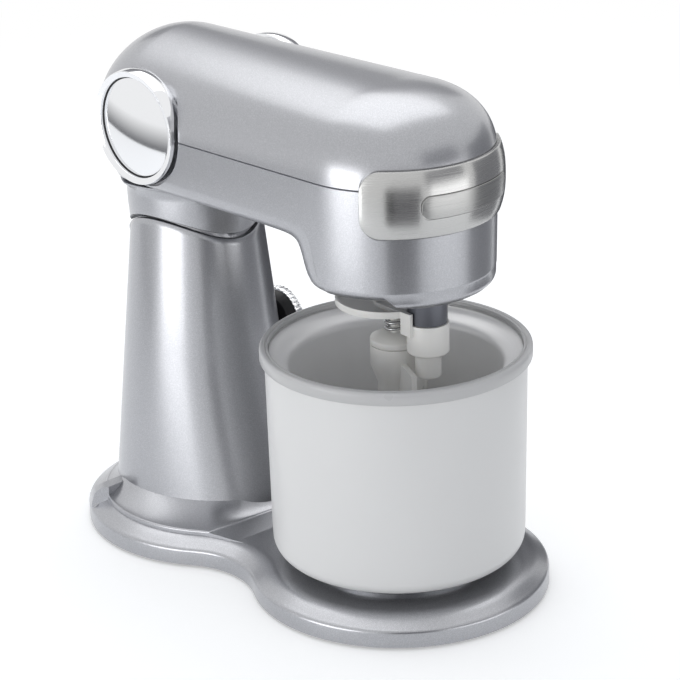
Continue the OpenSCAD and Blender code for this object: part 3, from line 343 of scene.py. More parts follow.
# raised plate under the column: its front edge falls away towards the waist on each side of a ridge
plate_inset, plate_z, plate_h, plate_round = 12 * mm, 19 * mm, 3.5 * mm, 1.3 * mm
ridge_y, ridge_slope = 104.5 * mm, 0.136
toe_y, toe_side = 102.5 * mm, Vector((58.5, 80)) * mm
plate = bmesh.new()
base_plan(plate, plate_inset, plate_z)
for side in (-1, 1):
    slice_at(plate, (0, ridge_y, 0), (-ridge_slope * side, 1, 0), clear_inner=True)
plate_top = lift(plate, plate.faces[:], plate_h)
for vert in plate.verts:
    off_ridge = abs(vert.co.y - ridge_y - ridge_slope * abs(vert.co.x))
    if vert.co.z < plate_z + 1 * mm and off_ridge < 0.2 * mm:
        if abs(vert.co.x) < 20 * mm:
            vert.co = (0, toe_y, plate_z)
        else:
            vert.co = (math.copysign(toe_side.x, vert.co.x), toe_side.y, plate_z)
rim = {e for f in plate_top for e in f.edges}
bmesh.ops.bevel(plate, geom=list(rim), offset=plate_round, segments=4, affect="EDGES", profile=0.5,
                material=-1)
tidy(plate)


def high_back(*cuts):
    """the base's raised back: a turned solid, cut by planes in mm that each drop what lies behind them"""
    block = turned([(0, 12), (99.6, 12), (99.3, 15), (98, 20.5), (97, 23.4), (95.6, 25.6), (93.4, 27.4),
                    (90.8, 28.5), (88, 29), (0, 29)], segments=192, centre_y=span)
    tidy(block)
    for place, normal in cuts:
        cut_edges = slice_at(block, Vector(place) * mm, normal, clear_inner=True)
        bmesh.ops.holes_fill(block, edges=cut_edges, sides=0)
    return block


# the high back ends in a slanted face on each side and slopes down behind it, but for its middle
front_cut = ((0, 210, 0), (0, 1, 0))
block = high_back(front_cut, ((-77.5, 210, 0), (0.755, 0.656, 0)), ((77.5, 210, 0), (-0.755, 0.656, 0)),
                  ((0, 219, 29), (0, -0.8, -1)))
# a small ramp at the foot of each slanted end
for side in (-1, 1):
    corners = [block.verts.new((side * x * mm, y * mm, z * mm))
               for x, y, z in ((86.8, 216.6, 13.6), (75.6, 213.4, 20.4), (82.4, 221, 21), (82.4, 221, 13))]
    bmesh.ops.convex_hull(block, input=corners)
tidy(block)
hump = high_back(front_cut, ((-17, 0, 0), (1, 0, 0)), ((17, 0, 0), (-1, 0, 0)))
tidy(hump)
# the raised seat under the bowl
turned([(61.4, 18), (61.9, 23.2), (61.5, 23.8), (61, 24), (60.2, 24), (60.2, 20.5), (0.1, 20.5)], shape=shape)

# the cove between the plate and the foot of the column: it sinks a little into both, so no gap shows
column_y, column_foot_z, column_foot_r, column_taper = 190 * mm, 22.5 * mm, 66 * mm, 0.10499
foot_spread, spread_top = 13 * mm, 130 * mm
cove_h, cove_low, cove_sink, least_gap = 8.5 * mm, 22.3 * mm, 0.4 * mm, 0.3 * mm
cove_edge_r, cove_front, cove_meet_z = 87 * mm, 84.6 * mm, 30 * mm


def column_radius(z):
    """the column's radius at a height, without its spreading foot"""
    return column_foot_r - (z - column_foot_z) * column_taper


def column_reach(around, z):
    """the column's radius in a direction: its foot spreads forwards below 130 mm"""
    a = column_radius(z)
    if math.sin(around) > 0:
        return a
    share = min(1, max(0, (spread_top - z) / (spread_top - column_foot_z)))
    b = a + foot_spread * share ** 1.5
    return a * b / math.hypot(b * math.cos(around), a * math.sin(around))


cove = bmesh.new()
bmesh.ops.create_grid(cove, x_segments=160, y_segments=12, size=1)
for vert in cove.verts:
    around = math.pi * (vert.co.x + 1)
    inward = 1 - (vert.co.y + 1) / 2
    ahead = Vector((math.cos(around), math.sin(around)))
    # how far the plate's outline lies from the column's axis in this direction
    offset = column_y - span
    reach = math.sqrt(cove_edge_r ** 2 - (offset * ahead.x) ** 2) - offset * ahead.y
    if ahead.y < 0:
        reach = min(reach, cove_front / (ridge_slope * abs(ahead.x) - ahead.y))
    gap = max(least_gap, reach - column_reach(around, cove_meet_z) + cove_sink)
    r = reach - gap * inward
    z = cove_low + min(cove_h, 0.6 * gap) * inward ** 1.4
    vert.co = (r * ahead.x, column_y + r * ahead.y, z)
bmesh.ops.remove_doubles(cove, verts=cove.verts, dist=1e-6)
bmesh.ops.recalc_face_normals(cove, faces=cove.faces)
if sum(f.normal.z for f in cove.faces) < 0:
    bmesh.ops.reverse_faces(cove, faces=cove.faces)
for extra in (plate, block, hump, cove):
    extra_mesh = bpy.data.meshes.new("joined")
    extra.to_mesh(extra_mesh)
    shape.from_mesh(extra_mesh)
    bpy.data.meshes.remove(extra_mesh)
    extra.free()
new_piece("base_shell", shape, "stand", silver, ["base_casting"], sharp=28)


# ---- Base cover, feet, bowl seat and cord gland ----
# The cover is a moulded nylon tray screwed up into the casting, with five rubber feet pushed into
# it. The bayonet ring for the bowl is stamped steel, and the gland at the back is moulded rubber.

def finish_material(name, base_hex, roughness, metallic=0.0, grain=900.0, depth=0.00002, strength=0.25,
                    **more):
    """a plain finish with its own fine grain: grain counts the specks in a metre, depth is their height"""
    made, tree = new_material(name)
    place = add_node(tree, "ShaderNodeTexCoord")
    speck = add_node(tree, "ShaderNodeTexNoise",
                     {"Vector": place.outputs["Object"], "Scale": grain, "Detail": 3.0})
    relief = add_node(tree, "ShaderNodeBump",
                      {"Height": speck.outputs[0], "Strength": strength, "Distance": depth})
    # slow patches about 30 mm wide, as handling and moulding leave them
    patches = add_node(tree, "ShaderNodeTexNoise",
                       {"Vector": place.outputs["Object"], "Scale": 35.0, "Detail": 2.0})
    sheen = add_node(tree, "ShaderNodeMapRange",
                     {"Value": patches.outputs[0], "From Min": 0.3, "From Max": 0.7,
                      "To Min": roughness * 0.9, "To Max": roughness * 1.1})
    feeds = {"Base Color": colour(base_hex), "Metallic": metallic, "Roughness": sheen.outputs[0],
             "Normal": relief.outputs[0]}
    feeds.update({key.replace("_", " "): value for key, value in more.items()})
    return principled(made, feeds)


def coat(material, *nodes):
    """gives a CAD node its material"""
    for node in nodes:
        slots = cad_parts[node].data.materials
        slots.clear()
        slots.append(material)


black_rubber = finish_material("black moulded rubber", "#1d1d1f", 0.72, grain=2500.0)
dark_plastic = finish_material("dark moulded nylon", "#2c2d30", 0.5)
stamped_steel = finish_material("stamped zinc-plated steel", "#9fa1a6", 0.36, metallic=1.0, grain=1500.0)
coat(black_rubber, "rubber_feet", "cord_gland")
coat(dark_plastic, "base_cover")
coat(stamped_steel, "bowl_seat_ring")


# ---- Column ----
# The upright is a tapering casting in the same lacquer, cut to a saddle at its top, where the
# head rocks on it. A plate with the hinge's middle knuckle closes it.

def rounded_node(name, node, body, material, width, angle=40, segments=3):
    """a piece made from a CAD node's own mesh: flat faces joined, sharp edges rounded by width"""
    shape = bmesh.new()
    shape.from_mesh(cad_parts[node].data)
    bmesh.ops.remove_doubles(shape, verts=shape.verts, dist=2e-6)
    bmesh.ops.dissolve_limit(shape, angle_limit=math.radians(1), verts=shape.verts, edges=shape.edges)
    edges = [e for e in shape.edges if len(e.link_faces) == 2 and e.calc_face_angle(0) > math.radians(angle)]
    bmesh.ops.bevel(shape, geom=edges, offset=width, segments=segments, affect="EDGES", profile=0.5,
                    material=-1, clamp_overlap=True)
    new_piece(name, shape, body, material, [node])


crown_y, crown_z, crown_r = 183.5 * mm, 165.4 * mm, 60 * mm
edge_gap, rings = 0.45 * mm, 48
# past the last ring the top edge is rounded and turns down inside as the wall: in and up, in mm
top_rows = {rings: (0.35, 0.35), rings + 1: (1.0, 0.45), rings + 2: (3.2, 0.45),
            rings + 3: (3.5, -0.8), rings + 4: (3.5, -16.0)}


def saddle(y):
    """height of the column's rounded top at y"""
    return crown_z + math.sqrt(max(0, crown_r ** 2 - (y - crown_y) ** 2))


shape = bmesh.new()
foot = bmesh.ops.create_circle(shape, segments=144, radius=column_foot_r)["verts"]
for vert in foot:
    around = math.atan2(vert.co.y, vert.co.x)
    r = column_reach(around, column_foot_z)
    vert.co = (r * math.cos(around), column_y + r * math.sin(around), column_foot_z)
edge_loop = list({e for v in foot for e in v.link_edges})
for i in range(rings + len(top_rows)):
    grown = bmesh.ops.extrude_edge_only(shape, edges=edge_loop)["geom"]
    edge_loop = only(bmesh.types.BMEdge, grown)
    share = min(1.0, (i + 1) / rings)
    inward, rise = top_rows.get(i, (0, 0))
    for vert in only(bmesh.types.BMVert, grown):
        around = math.atan2(vert.co.y - column_y, vert.co.x)
        z = vert.co.z
        # the saddle's height depends on the radius and the radius on the height: both settle in rounds
        for _ in range(5):
            r = column_reach(around, z)
            top = saddle(column_y + r * math.sin(around)) - edge_gap
            z = column_foot_z + (top - column_foot_z) * share
        r = column_reach(around, z) - inward * mm
        vert.co = (r * math.cos(around), column_y + r * math.sin(around), z + rise * mm)
tidy(shape)
new_piece("column_casting", shape, "stand", silver, ["column_shell"], sharp=50)
rounded_node("column_crown", "column_plate", "stand", silver, 0.4 * mm, angle=50, segments=2)
ground_steel = finish_material("ground steel", "#a7a9ac", 0.25, metallic=1.0, grain=1800.0)
board_green = finish_material("green solder resist", "#1f5a34", 0.4)
coat(ground_steel, "hinge_pin")
coat(board_green, "control_board")


# ---- Speed dial and head latch ----
# The dial is a black moulded knob with a knurled chrome ring; its spindle goes through the
# column to the control board. The latch is a small moulded lever behind it.

bright_chrome = finish_material("bright chrome plating", "#ecedef", 0.07, metallic=1.0, grain=300.0,
                                depth=0.000004, strength=0.1)
black_plastic = finish_material("black satin ABS", "#1b1b1d", 0.38, grain=1800.0)
rounded_node("dial_knurl", "dial_ring", "dial", bright_chrome, 0.25 * mm, segments=2)
rounded_node("dial_knob", "speed_dial", "dial", black_plastic, 0.5 * mm)
rounded_node("head_latch", "latch_lever", "latch", black_plastic, 0.5 * mm)


# ---- Head: lower shell ----
# A die-cast tray that carries the motor and the gears. Its deep nose steps up behind the drive
# to a flat arm, and a round neck with a soft fillet comes down to the hinge.

nose_r, tail_r, split_z = 66.6 * mm, 62.6 * mm, 294 * mm
nose_low, arm_low, nose_back = 222 * mm, 252 * mm, 47.5 * mm
nose_draft, floor_round = 1.2 * mm, 6.5 * mm
groove_depth, groove_h = 0.9 * mm, 0.6 * mm
plan_lean = math.asin((nose_r - tail_r) / column_y)


def plan_half(y):
    """half width of the head at y"""
    if y < nose_r * math.sin(plan_lean):
        return math.sqrt(max(0, nose_r ** 2 - y * y))
    if y > column_y + tail_r * math.sin(plan_lean):
        return math.sqrt(max(0, tail_r ** 2 - (y - column_y) ** 2))
    return (nose_r - y * math.tan(plan_lean)) / math.cos(plan_lean)


def plan_depth(x, y):
    """distance in from the head's outline"""
    if y < 0:
        return nose_r - math.hypot(x, y)
    if y > column_y:
        return tail_r - math.hypot(x, y - column_y)
    return max(0, (plan_half(y) - abs(x)) * math.cos(plan_lean))


def back_at(x):
    """where the nose's curved back wall stands at x"""
    return nose_back * math.sqrt(max(0.02, 1 - (x / nose_r) ** 2))


def rise_at(x, y):
    """0 under the nose, 1 under the arm"""
    t = (y - back_at(x)) / (4.5 * mm)
    return 0.0 if y < 0 else 0.5 + 0.5 * t / math.sqrt(1 + t * t)


def bent(y, x):
    """stations near the arch follow the nose's curved back wall, and run straight again further back"""
    follow_end, straight_start = 70 * mm, 150 * mm
    if y < 0:
        share = 0
    elif y < nose_back:
        share = y / nose_back
    elif y < follow_end:
        share = 1
    else:
        share = max(0, (straight_start - y) / (straight_start - follow_end))
    return y + share * (back_at(x) - nose_back)


def tail_share(y):
    """0 up to 4 mm behind the column's axis, 1 from 38 mm behind it"""
    return min(1, max(0, (y - column_y - 4 * mm) / (34 * mm)))


def tuck(y, share):
    """how much the tail draws in below the parting line: share is 0 at its floor, 1 at the line"""
    t = tail_share(y)
    return 1 - 0.17 * t * t * (3 - 2 * t) * (1 - share) ** 1.6


def floor_at(rise):
    """height of the tray's floor, from the nose's to the arm's"""
    return nose_low + (arm_low - nose_low) * rise


def draft_at(rise):
    """how much the tray narrows towards its floor: fully under the nose, little under the arm"""
    return 1 - nose_draft / nose_r * (1 - 0.8 * rise)


near_back = (0.3, 0.6, 1, 1.4, 1.9, 2.5, 3.2, 4, 5)
stations = [-nose_r * math.cos(math.radians(a)) for a in range(0, 90, 3)]
stations += [nose_back * k / 8 for k in range(7)]
stations += [nose_back - t * mm for t in reversed(near_back)] + [nose_back]
stations += [nose_back + t * mm for t in near_back + (6.5, 8.5, 11, 14, 18, 23)]
stations += [y * mm for y in (80, 90, 100, 112, 124, 136, 150, 164, 178)]
stations += [column_y + tail_r * math.sin(math.radians(a)) for a in range(0, 91, 3)]
across, wall_shares = 72, (0.34, 0.67, 1.0, 1.0)
wall_rows = len(wall_shares)
shape = bmesh.new()
bmesh.ops.create_grid(shape, x_segments=across + 2 * wall_rows, y_segments=len(stations) - 1, size=1)
for vert in shape.verts:
    station = stations[round((vert.co.y + 1) / 2 * (len(stations) - 1))]
    j = round((vert.co.x + 1) / 2 * (across + 2 * wall_rows)) - wall_rows
    if 0 <= j <= across:
        # the floor, with its rounded lower edge
        s = math.sin(math.radians(-90 + 180 * j / across))
        y = bent(station, nose_r * s)
        x = plan_half(y) * s
        rise = rise_at(x, y)
        c = floor_round * (1 + rise)
        d = min(c, plan_depth(x, y))
        z = floor_at(rise) + c - math.sqrt(max(0, c * c - (c - d) ** 2))
        draft, drawn = draft_at(rise), tuck(y, 0)
        vert.co = (x * draft * drawn, y * draft if y < 0 else column_y + (y - column_y) * drawn, z)
        continue
    # the upright side
    side, row = (-1, -j) if j < 0 else (1, j - across)
    share = wall_shares[row - 1]
    edge_y = bent(station, nose_r)
    rise = rise_at(plan_half(edge_y), edge_y)
    low = floor_at(rise) + floor_round * (1 + rise)
    z = low + (split_z - groove_h - low) * share
    draft, drawn = draft_at(rise), tuck(edge_y, share)
    grow = draft + (1 - draft) * share
    x = side * plan_half(edge_y) * grow * drawn
    y = edge_y * grow if edge_y < 0 else column_y + (edge_y - column_y) * drawn
    if row == wall_rows:
        # the last row leans in, which makes the parting groove
        z = split_z
        if edge_y < 0:
            inner = 1 - groove_depth / nose_r
            x, y = x * inner, y * inner
        elif edge_y > column_y:
            inner = 1 - groove_depth / tail_r
            x, y = x * inner, column_y + (y - column_y) * inner
        else:
            x -= side * groove_depth
    vert.co = (x, y, z)


def fill_open(shape):
    """closes every open edge loop with a face"""
    bmesh.ops.holes_fill(shape, edges=[e for e in shape.edges if e.is_boundary], sides=0)


bmesh.ops.remove_doubles(shape, verts=shape.verts, dist=2e-5)
fill_open(shape)
tidy(shape)
lower = new_piece("head_tray", shape, "head", silver, ["head_lower_shell"], sharp=35)

# neck: turned round the column's axis, cut to the saddle, with a fillet into the arm
neck_low = 196
neck_foot_r = column_radius(neck_low * mm) / mm
neck_profile = [(neck_foot_r - 3, neck_low), (neck_foot_r, neck_low)]
neck_profile += [(column_radius(z * mm) / mm, z) for z in (200, 205, 210, 214)]
neck_profile += [(46, 218), (46.3, 224), (46.8, 230)] + arc(59, 240, 12, 180, 90, 14)
neck_profile += [(59.5, 253.2), (30, 253.2), (30, neck_low), (neck_foot_r - 3, neck_low)]
neck = turned(neck_profile, segments=144, centre_y=column_y)
fillet_r, fillet_z = 48 * mm, 236 * mm
for vert in neck.verts:
    # behind, the fillet stays inside the tail
    if math.hypot(vert.co.x, vert.co.y - column_y) > fillet_r and vert.co.z > fillet_z:
        keep = 1 - 0.2 * tail_share(vert.co.y)
        vert.co.x *= keep
        vert.co.y = column_y + (vert.co.y - column_y) * keep
tidy(neck)
neck_piece = new_piece("head_neck", neck, "head", silver, ["head_lower_shell"], sharp=40)


def drum(radius, depth, place, tip_about=None, segments=160):
    """a cylinder for a cut, upright unless it is tipped over about X or Y"""
    matrix = Matrix.Translation(place)
    if tip_about:
        matrix = matrix @ Matrix.Rotation(math.pi / 2, 4, tip_about)
    shape = bmesh.new()
    bmesh.ops.create_cone(shape, cap_ends=True, segments=segments, radius1=radius, radius2=radius,
                          depth=depth, matrix=matrix)
    return shape


def combine(piece, operation, *solids):
    """takes solids out of a piece, or adds them as one skin, for good"""
    for solid in solids:
        mesh = bpy.data.meshes.new("tool")
        face_out(solid)
        solid.to_mesh(mesh)
        solid.free()
        tool = bpy.data.objects.new("tool", mesh)
        scene.collection.objects.link(tool)
        change = piece.modifiers.new("change", "BOOLEAN")
        change.operation = operation
        change.solver = "EXACT"
        change.object = tool
        ready = bpy.context.evaluated_depsgraph_get()
        result = bpy.data.meshes.new_from_object(piece.evaluated_get(ready))
        piece.modifiers.clear()
        old = piece.data
        piece.data = result
        bpy.data.meshes.remove(old)
        bpy.data.objects.remove(tool)
        bpy.data.meshes.remove(mesh)


# the neck clears the saddle by 3 mm, and a box frees the hinge's knuckles behind
saddle_cut = drum(crown_r + 3 * mm, 160 * mm, (0, crown_y, crown_z), "Y", segments=180)
knuckle_cut, knuckle_place = bmesh.new(), Vector((0, 254.7, 200)) * mm
bmesh.ops.create_cube(knuckle_cut, size=1, matrix=Matrix.Translation(knuckle_place)
                      @ Matrix.Diagonal((160 * mm, 60 * mm, 28.8 * mm, 1)))
combine(neck_piece, "DIFFERENCE", saddle_cut, knuckle_cut)


# ---- Head: upper shell ----
# The lid is a second casting, domed over the nose and the tail. It sits on the tray with a fine
# groove between them and is screwed to it from inside.

dome_nose_h, dome_tail_h = 51 * mm, 57.5 * mm
dome_nose_power, dome_tail_power = 0.8, 1.0526
# where the nose's arc ends, and where the tail's starts and ends, as shares of one trip round the lid
nose_end, tail_start, tail_end = 0.42, 0.53, 0.89


def dome_point(u, a, inset=0.0):
    """a point of the lid: u goes once round the outline, a is 0 at the parting line and 90 on the crown"""
    rise, run = math.sin(math.radians(a)), math.cos(math.radians(a))
    r_nose = max(0, nose_r * run ** dome_nose_power - inset)
    r_tail = max(0, tail_r * run ** dome_tail_power - inset)
    z_nose = split_z + max(groove_h, dome_nose_h * rise ** dome_nose_power) * (a > 0)
    z_tail = split_z + max(groove_h, dome_tail_h * rise ** dome_tail_power) * (a > 0)
    slant = math.asin((r_nose - r_tail) / column_y)
    if u < nose_end:
        turn = math.pi - slant + (math.pi + 2 * slant) * u / nose_end
        return Vector((r_nose * math.cos(turn), r_nose * math.sin(turn), z_nose))
    if tail_start <= u < tail_end:
        turn = slant + (math.pi - 2 * slant) * (u - tail_start) / (tail_end - tail_start)
        return Vector((r_tail * math.cos(turn), column_y + r_tail * math.sin(turn), z_tail))
    if u < tail_start:
        share, turn = (u - nose_end) / (tail_start - nose_end), slant
    else:
        share, turn = (1 - u) / (1 - tail_end), math.pi - slant
    near = Vector((r_nose * math.cos(turn), r_nose * math.sin(turn), z_nose))
    distant = Vector((r_tail * math.cos(turn), column_y + r_tail * math.sin(turn), z_tail))
    return near.lerp(distant, share)


levels = [(0, groove_depth)] + [(a, 0) for a in (0.01, 1, 2, 3.2, 4.6, 6.2, 8, 10, 12.5, 15)]
levels += [(a, 0) for a in range(18, 91, 3)]
round_steps = 200
shape = bmesh.new()
bmesh.ops.create_grid(shape, x_segments=round_steps, y_segments=len(levels) - 1, size=1)
for vert in shape.verts:
    level, inset = levels[round((vert.co.y + 1) / 2 * (len(levels) - 1))]
    step = round((vert.co.x + 1) / 2 * round_steps) % round_steps
    vert.co = dome_point(step / round_steps, level, inset)
bmesh.ops.remove_doubles(shape, verts=shape.verts, dist=2e-5)
fill_open(shape)
tidy(shape)
lid = new_piece("head_lid", shape, "head", silver, ["head_upper_shell"], sharp=40)


# ---- Head: chin, recesses and screws ----
# The tray's front lip hangs lower than the rest of its floor. The floor has a round opening for the
# planet carrier, and both castings are recessed for the steel front and for the side caps.

def band_solid(half_angle, height, z, corner, r_in, r_out, edge=0.0, barrel=0.0):
    """a plate with rounded corners, a rounded front edge and a barrelled face, then bent round the nose"""
    shape = bmesh.new()
    reach = r_out * math.radians(half_angle)
    outline = []
    for side_x, side_z, first in ((1, 1, 0), (-1, 1, 90), (-1, -1, 180), (1, -1, 270)):
        centre_x, centre_z = side_x * (reach - corner), side_z * (height / 2 - corner)
        for x, z_flat in arc(centre_x, centre_z, corner, first, first + 90, 12):
            outline.append(shape.verts.new((x, z_flat, 0)))
    plate = [shape.faces.new(outline)]
    under = only(bmesh.types.BMFace, bmesh.ops.duplicate(shape, geom=plate)["geom"])
    plate = lift(shape, plate, r_out - r_in - edge)
    edge_steps = 4 if edge else 0
    for i in range(edge_steps):
        a, b = math.radians(90 * i / edge_steps), math.radians(90 * (i + 1) / edge_steps)
        bmesh.ops.inset_region(shape, faces=plate, thickness=edge * (math.cos(a) - math.cos(b)),
                               depth=edge * (math.sin(b) - math.sin(a)), use_even_offset=True)
    bmesh.ops.reverse_faces(shape, faces=under)
    bmesh.ops.remove_doubles(shape, verts=shape.verts, dist=1e-6)
    strips = max(8, int(half_angle))
    for i in range(1, strips):
        slice_at(shape, (reach * (2 * i / strips - 1), 0, 0), (1, 0, 0), dist=1e-6)
    for row in ((-0.8, -0.6, -0.4, -0.2, 0, 0.2, 0.4, 0.6, 0.8) if barrel else ()):
        slice_at(shape, (0, row * height / 2, 0), (0, 1, 0), dist=1e-6)
    for vert in shape.verts:
        fall = 1 - barrel * abs(2 * vert.co.y / height) ** 2.6
        r, turn = r_in + vert.co.z * fall, vert.co.x / r_out
        vert.co = (r * math.sin(turn), -r * math.cos(turn), z + vert.co.y)
    tidy(shape)
    return shape


def settle(piece, sharp=35):
    """smooth faces again after a cut, with sharp edges past an angle"""
    for face in piece.data.polygons:
        face.use_smooth = True
    piece.data.set_sharp_from_angle(angle=math.radians(sharp))


# the band's half angle in degrees, its height, its corners and the height of its middle
band_half, band_h, band_corner, front_z = 63, 43 * mm, 13 * mm, 285.5 * mm
# the seat leaves this gap round the band, in degrees at its ends and in mm elsewhere
seat_gap = 0.8
cap_y, cap_z = 172 * mm, 297 * mm


def recesses():
    """what both castings give up: the steel front's seat, the side caps' seats and the outlet's hole"""
    seat = band_solid(band_half + seat_gap, band_h + 2 * seat_gap * mm, front_z, band_corner + seat_gap * mm,
                      65.4 * mm, 76 * mm)
    # a cap's seat ends 56 mm from the middle and lies a little forwards, which leaves a gap there
    caps = [drum(40.5 * mm, 30 * mm, (side * 71 * mm, cap_y - 0.9 * mm, cap_z), "Y") for side in (-1, 1)]
    return seat, *caps, drum(13.8 * mm, 30 * mm, (0, -58 * mm, 282.5 * mm), "X", segments=96)


chin = turned([(46, 228), (46, 216.8), (46.8, 216)] + arc(59.6, 221.4, 5.4, 270, 360, 10)
              + [(65.1, 231.4), (58, 231.4), (58, 228), (46, 228)], segments=120)
tidy(chin)
# three slanting cuts let the lip rise backwards: y and height of a point in mm, and the slant
for cut_y, cut_z, slant in ((-45, 216, 61), (-48.5, 216, 40), (-33, 222.4, 76)):
    slice_at(chin, (0, cut_y * mm, cut_z * mm),
             (0, math.cos(math.radians(slant)), -math.sin(math.radians(slant))), clear_outer=True)
    fill_open(chin)
combine(lower, "UNION", chin)
carrier_opening = drum(44.5 * mm, 52 * mm, (0, 0, 236 * mm))
combine(lower, "DIFFERENCE", carrier_opening, *recesses())
settle(lower)
combine(lid, "DIFFERENCE", *recesses())
settle(lid, sharp=40)
settle(neck_piece, sharp=40)
rounded_node("tray_screws", "arch_screws", "head", ground_steel, 0.3 * mm, segments=2)


# ---- Side caps ----
# Each side of the head carries a chromed zinc ring with a shallow domed cap pressed into it;
# a thin black ring in the gap between them is painted shade, so that the gap shows dark.

# outlines of (radius, height) in mm, turned upright and then laid against the head
ring_profile = [(30, -7.6), (38.7, -7.6), (39, -7.3), (39, -1.5), (38.1, 3.1), (37.9, 3.55), (37.6, 3.75),
                (37.2, 3.6), (36, 3.15), (34.4, 2.6), (34.05, 2.4), (33.9, 2.0), (33.9, -3), (30, -3),
                (30, -7.6)]
cap_profile = [(0, -2.9), (32.9, -2.9), (33.1, -2.7), (33.1, -0.4), (32.95, -0.05)]
cap_profile += [(r, 2.6 - r * r / 400) for r in (32.6, 31, 28, 24, 20, 16, 12, 8, 4, 0)]
# painted shade: a thin black ring fills the gap between the cap and the chrome ring, so that it reads as a
# dark line
gap_shade_profile = [(33.12, -2.9), (33.88, -2.9), (33.88, 0.3), (33.5, 0.55), (33.12, 0.3), (33.12, -2.9)]
cap_offset = 64 * mm
for side, word in ((-1, "left"), (1, "right")):
    lay = Matrix.Translation((side * cap_offset, cap_y, cap_z)) @ Matrix.Rotation(side * math.pi / 2, 4, "Y")
    for part, profile, material, slot, nodes in (
            ("_chrome_ring", ring_profile, bright_chrome, "chrome_trim", [word + "_bezel"]),
            ("_chrome_cap", cap_profile, bright_chrome, "chrome_trim", [word + "_cap"]),
            # the black ring in the gap is painted shade, not a part of the head
            ("_cap_gap_shade", gap_shade_profile, black_rubber, "gland_rubber", [])):
        shape = turned(profile, segments=160)
        tidy(shape)
        bmesh.ops.transform(shape, matrix=lay, verts=shape.verts)
        face_out(shape)
        new_piece(word + part, shape, "head", material, nodes, sharp=50)


# ---- Steel front ----
# The band across the nose is 3 mm stainless steel, bent round it and brushed along its length. It
# pulls off forwards to free the outlet behind it, and a plain plate is let into its face.

def brushed_steel(name, base_hex, roughness):
    """stainless steel brushed level: the scratches run round the nose, so lamps smear up and down"""
    made, tree = new_material(name)
    place = add_node(tree, "ShaderNodeTexCoord")
    # scratches are 0.02 mm high; drawn 0.25 mm high so that they show, and about 30 mm long
    along = add_node(tree, "ShaderNodeMapping",
                     {"Vector": place.outputs["Object"], "Scale": (35.0, 35.0, 4000.0)})
    scratch = add_node(tree, "ShaderNodeTexNoise", {"Vector": along.outputs[0], "Scale": 1.0, "Detail": 3.0})
    relief = add_node(tree, "ShaderNodeBump",
                      {"Height": scratch.outputs[0], "Strength": 0.3, "Distance": 0.02 * mm})
    sheen = add_node(tree, "ShaderNodeMapRange",
                     {"Value": scratch.outputs[0], "From Min": 0.3, "From Max": 0.7,
                      "To Min": roughness * 0.8, "To Max": roughness * 1.2})
    grain = add_node(tree, "ShaderNodeTangent", direction_type="RADIAL", axis="Z")
    return principled(made, {"Base Color": colour(base_hex), "Metallic": 1.0, "Roughness": sheen.outputs[0],
                             "Anisotropic": 0.7, "Anisotropic Rotation": 0.25,
                             "Normal": relief.outputs[0], "Tangent": grain.outputs[0]})


steel_band = brushed_steel("brushed stainless steel", "#bbbbba", 0.24)
plate_steel = brushed_steel("brushed stainless plate", "#acacab", 0.3)
badge_z = 284 * mm
shape = band_solid(band_half, band_h, front_z, band_corner, 65.7 * mm, 71.2 * mm, edge=0.8 * mm, barrel=0.6)
front = new_piece("steel_front", shape, "cover", steel_band, ["nose_band"])
hollow = band_solid(60, 37 * mm, front_z, 10 * mm, 62 * mm, 68.2 * mm)
plate_seat = band_solid(32.6, 15.6 * mm, badge_z, 7 * mm, 70.35 * mm, 76 * mm)
combine(front, "DIFFERENCE", hollow, plate_seat)
settle(front)
shape = band_solid(31.7, 14.7 * mm, badge_z, 6.5 * mm, 70.5 * mm, 71.65 * mm, edge=0.45 * mm)
new_piece("plain_plate", shape, "cover", plate_steel, ["badge_panel"])


# ---- Motor and gears ----
# Everything under the lid: a canned motor, a toothed belt, and a moulded gear set in a cast case.
# The planet carrier comes out through the nose and holds the turning collar.

cast_grey = finish_material("satin grey lacquer", "#74767d", 0.36, metallic=0.8, grain=2000.0)
gear_nylon = finish_material("natural nylon", "#d8d4c6", 0.45, Subsurface_Weight=0.1)
zinc_can = finish_material("zinc-plated motor can", "#8b8d91", 0.42, metallic=1.0, grain=1500.0)
belt_rubber = finish_material("ribbed belt rubber", "#222224", 0.65, grain=2200.0)
satin_nickel = finish_material("satin nickel plating", "#d2d3d6", 0.34, metallic=1.0, grain=1600.0)
coat(zinc_can, "motor_can")
coat(dark_plastic, "motor_bracket", "cooling_fan", "drive_pulley")
coat(belt_rubber, "drive_belt")
coat(gear_nylon, "ring_gear", "planet_gear")
coat(ground_steel, "rotor", "upper_bearing", "beater_shaft")
coat(satin_nickel, "drive_shaft")
coat(cast_grey, "gear_case", "outlet_socket")
rounded_node("carrier_disc", "planet_carrier", "carrier", cast_grey, 0.5 * mm)


# ---- Drive adapter ----
# A milky polypropylene moulding that hooks onto the collar: a dished disc over the dasher, and a
# stepped pin that pushes the dasher round.

white_plastic = finish_material("milky moulded polypropylene", "#ecebe7", 0.34, grain=1600.0,
                                Subsurface_Weight=0.15, Subsurface_Radius=(0.004, 0.0035, 0.003))
rounded_node("collar_adapter", "drive_adapter", "carrier", white_plastic, 0.4 * mm)


# ---- Dasher, cap and spring ----
# Three open scraper frames on a hub, moulded in one, with a snap-on cap. The steel spring presses
# the dasher down against the adapter's disc.

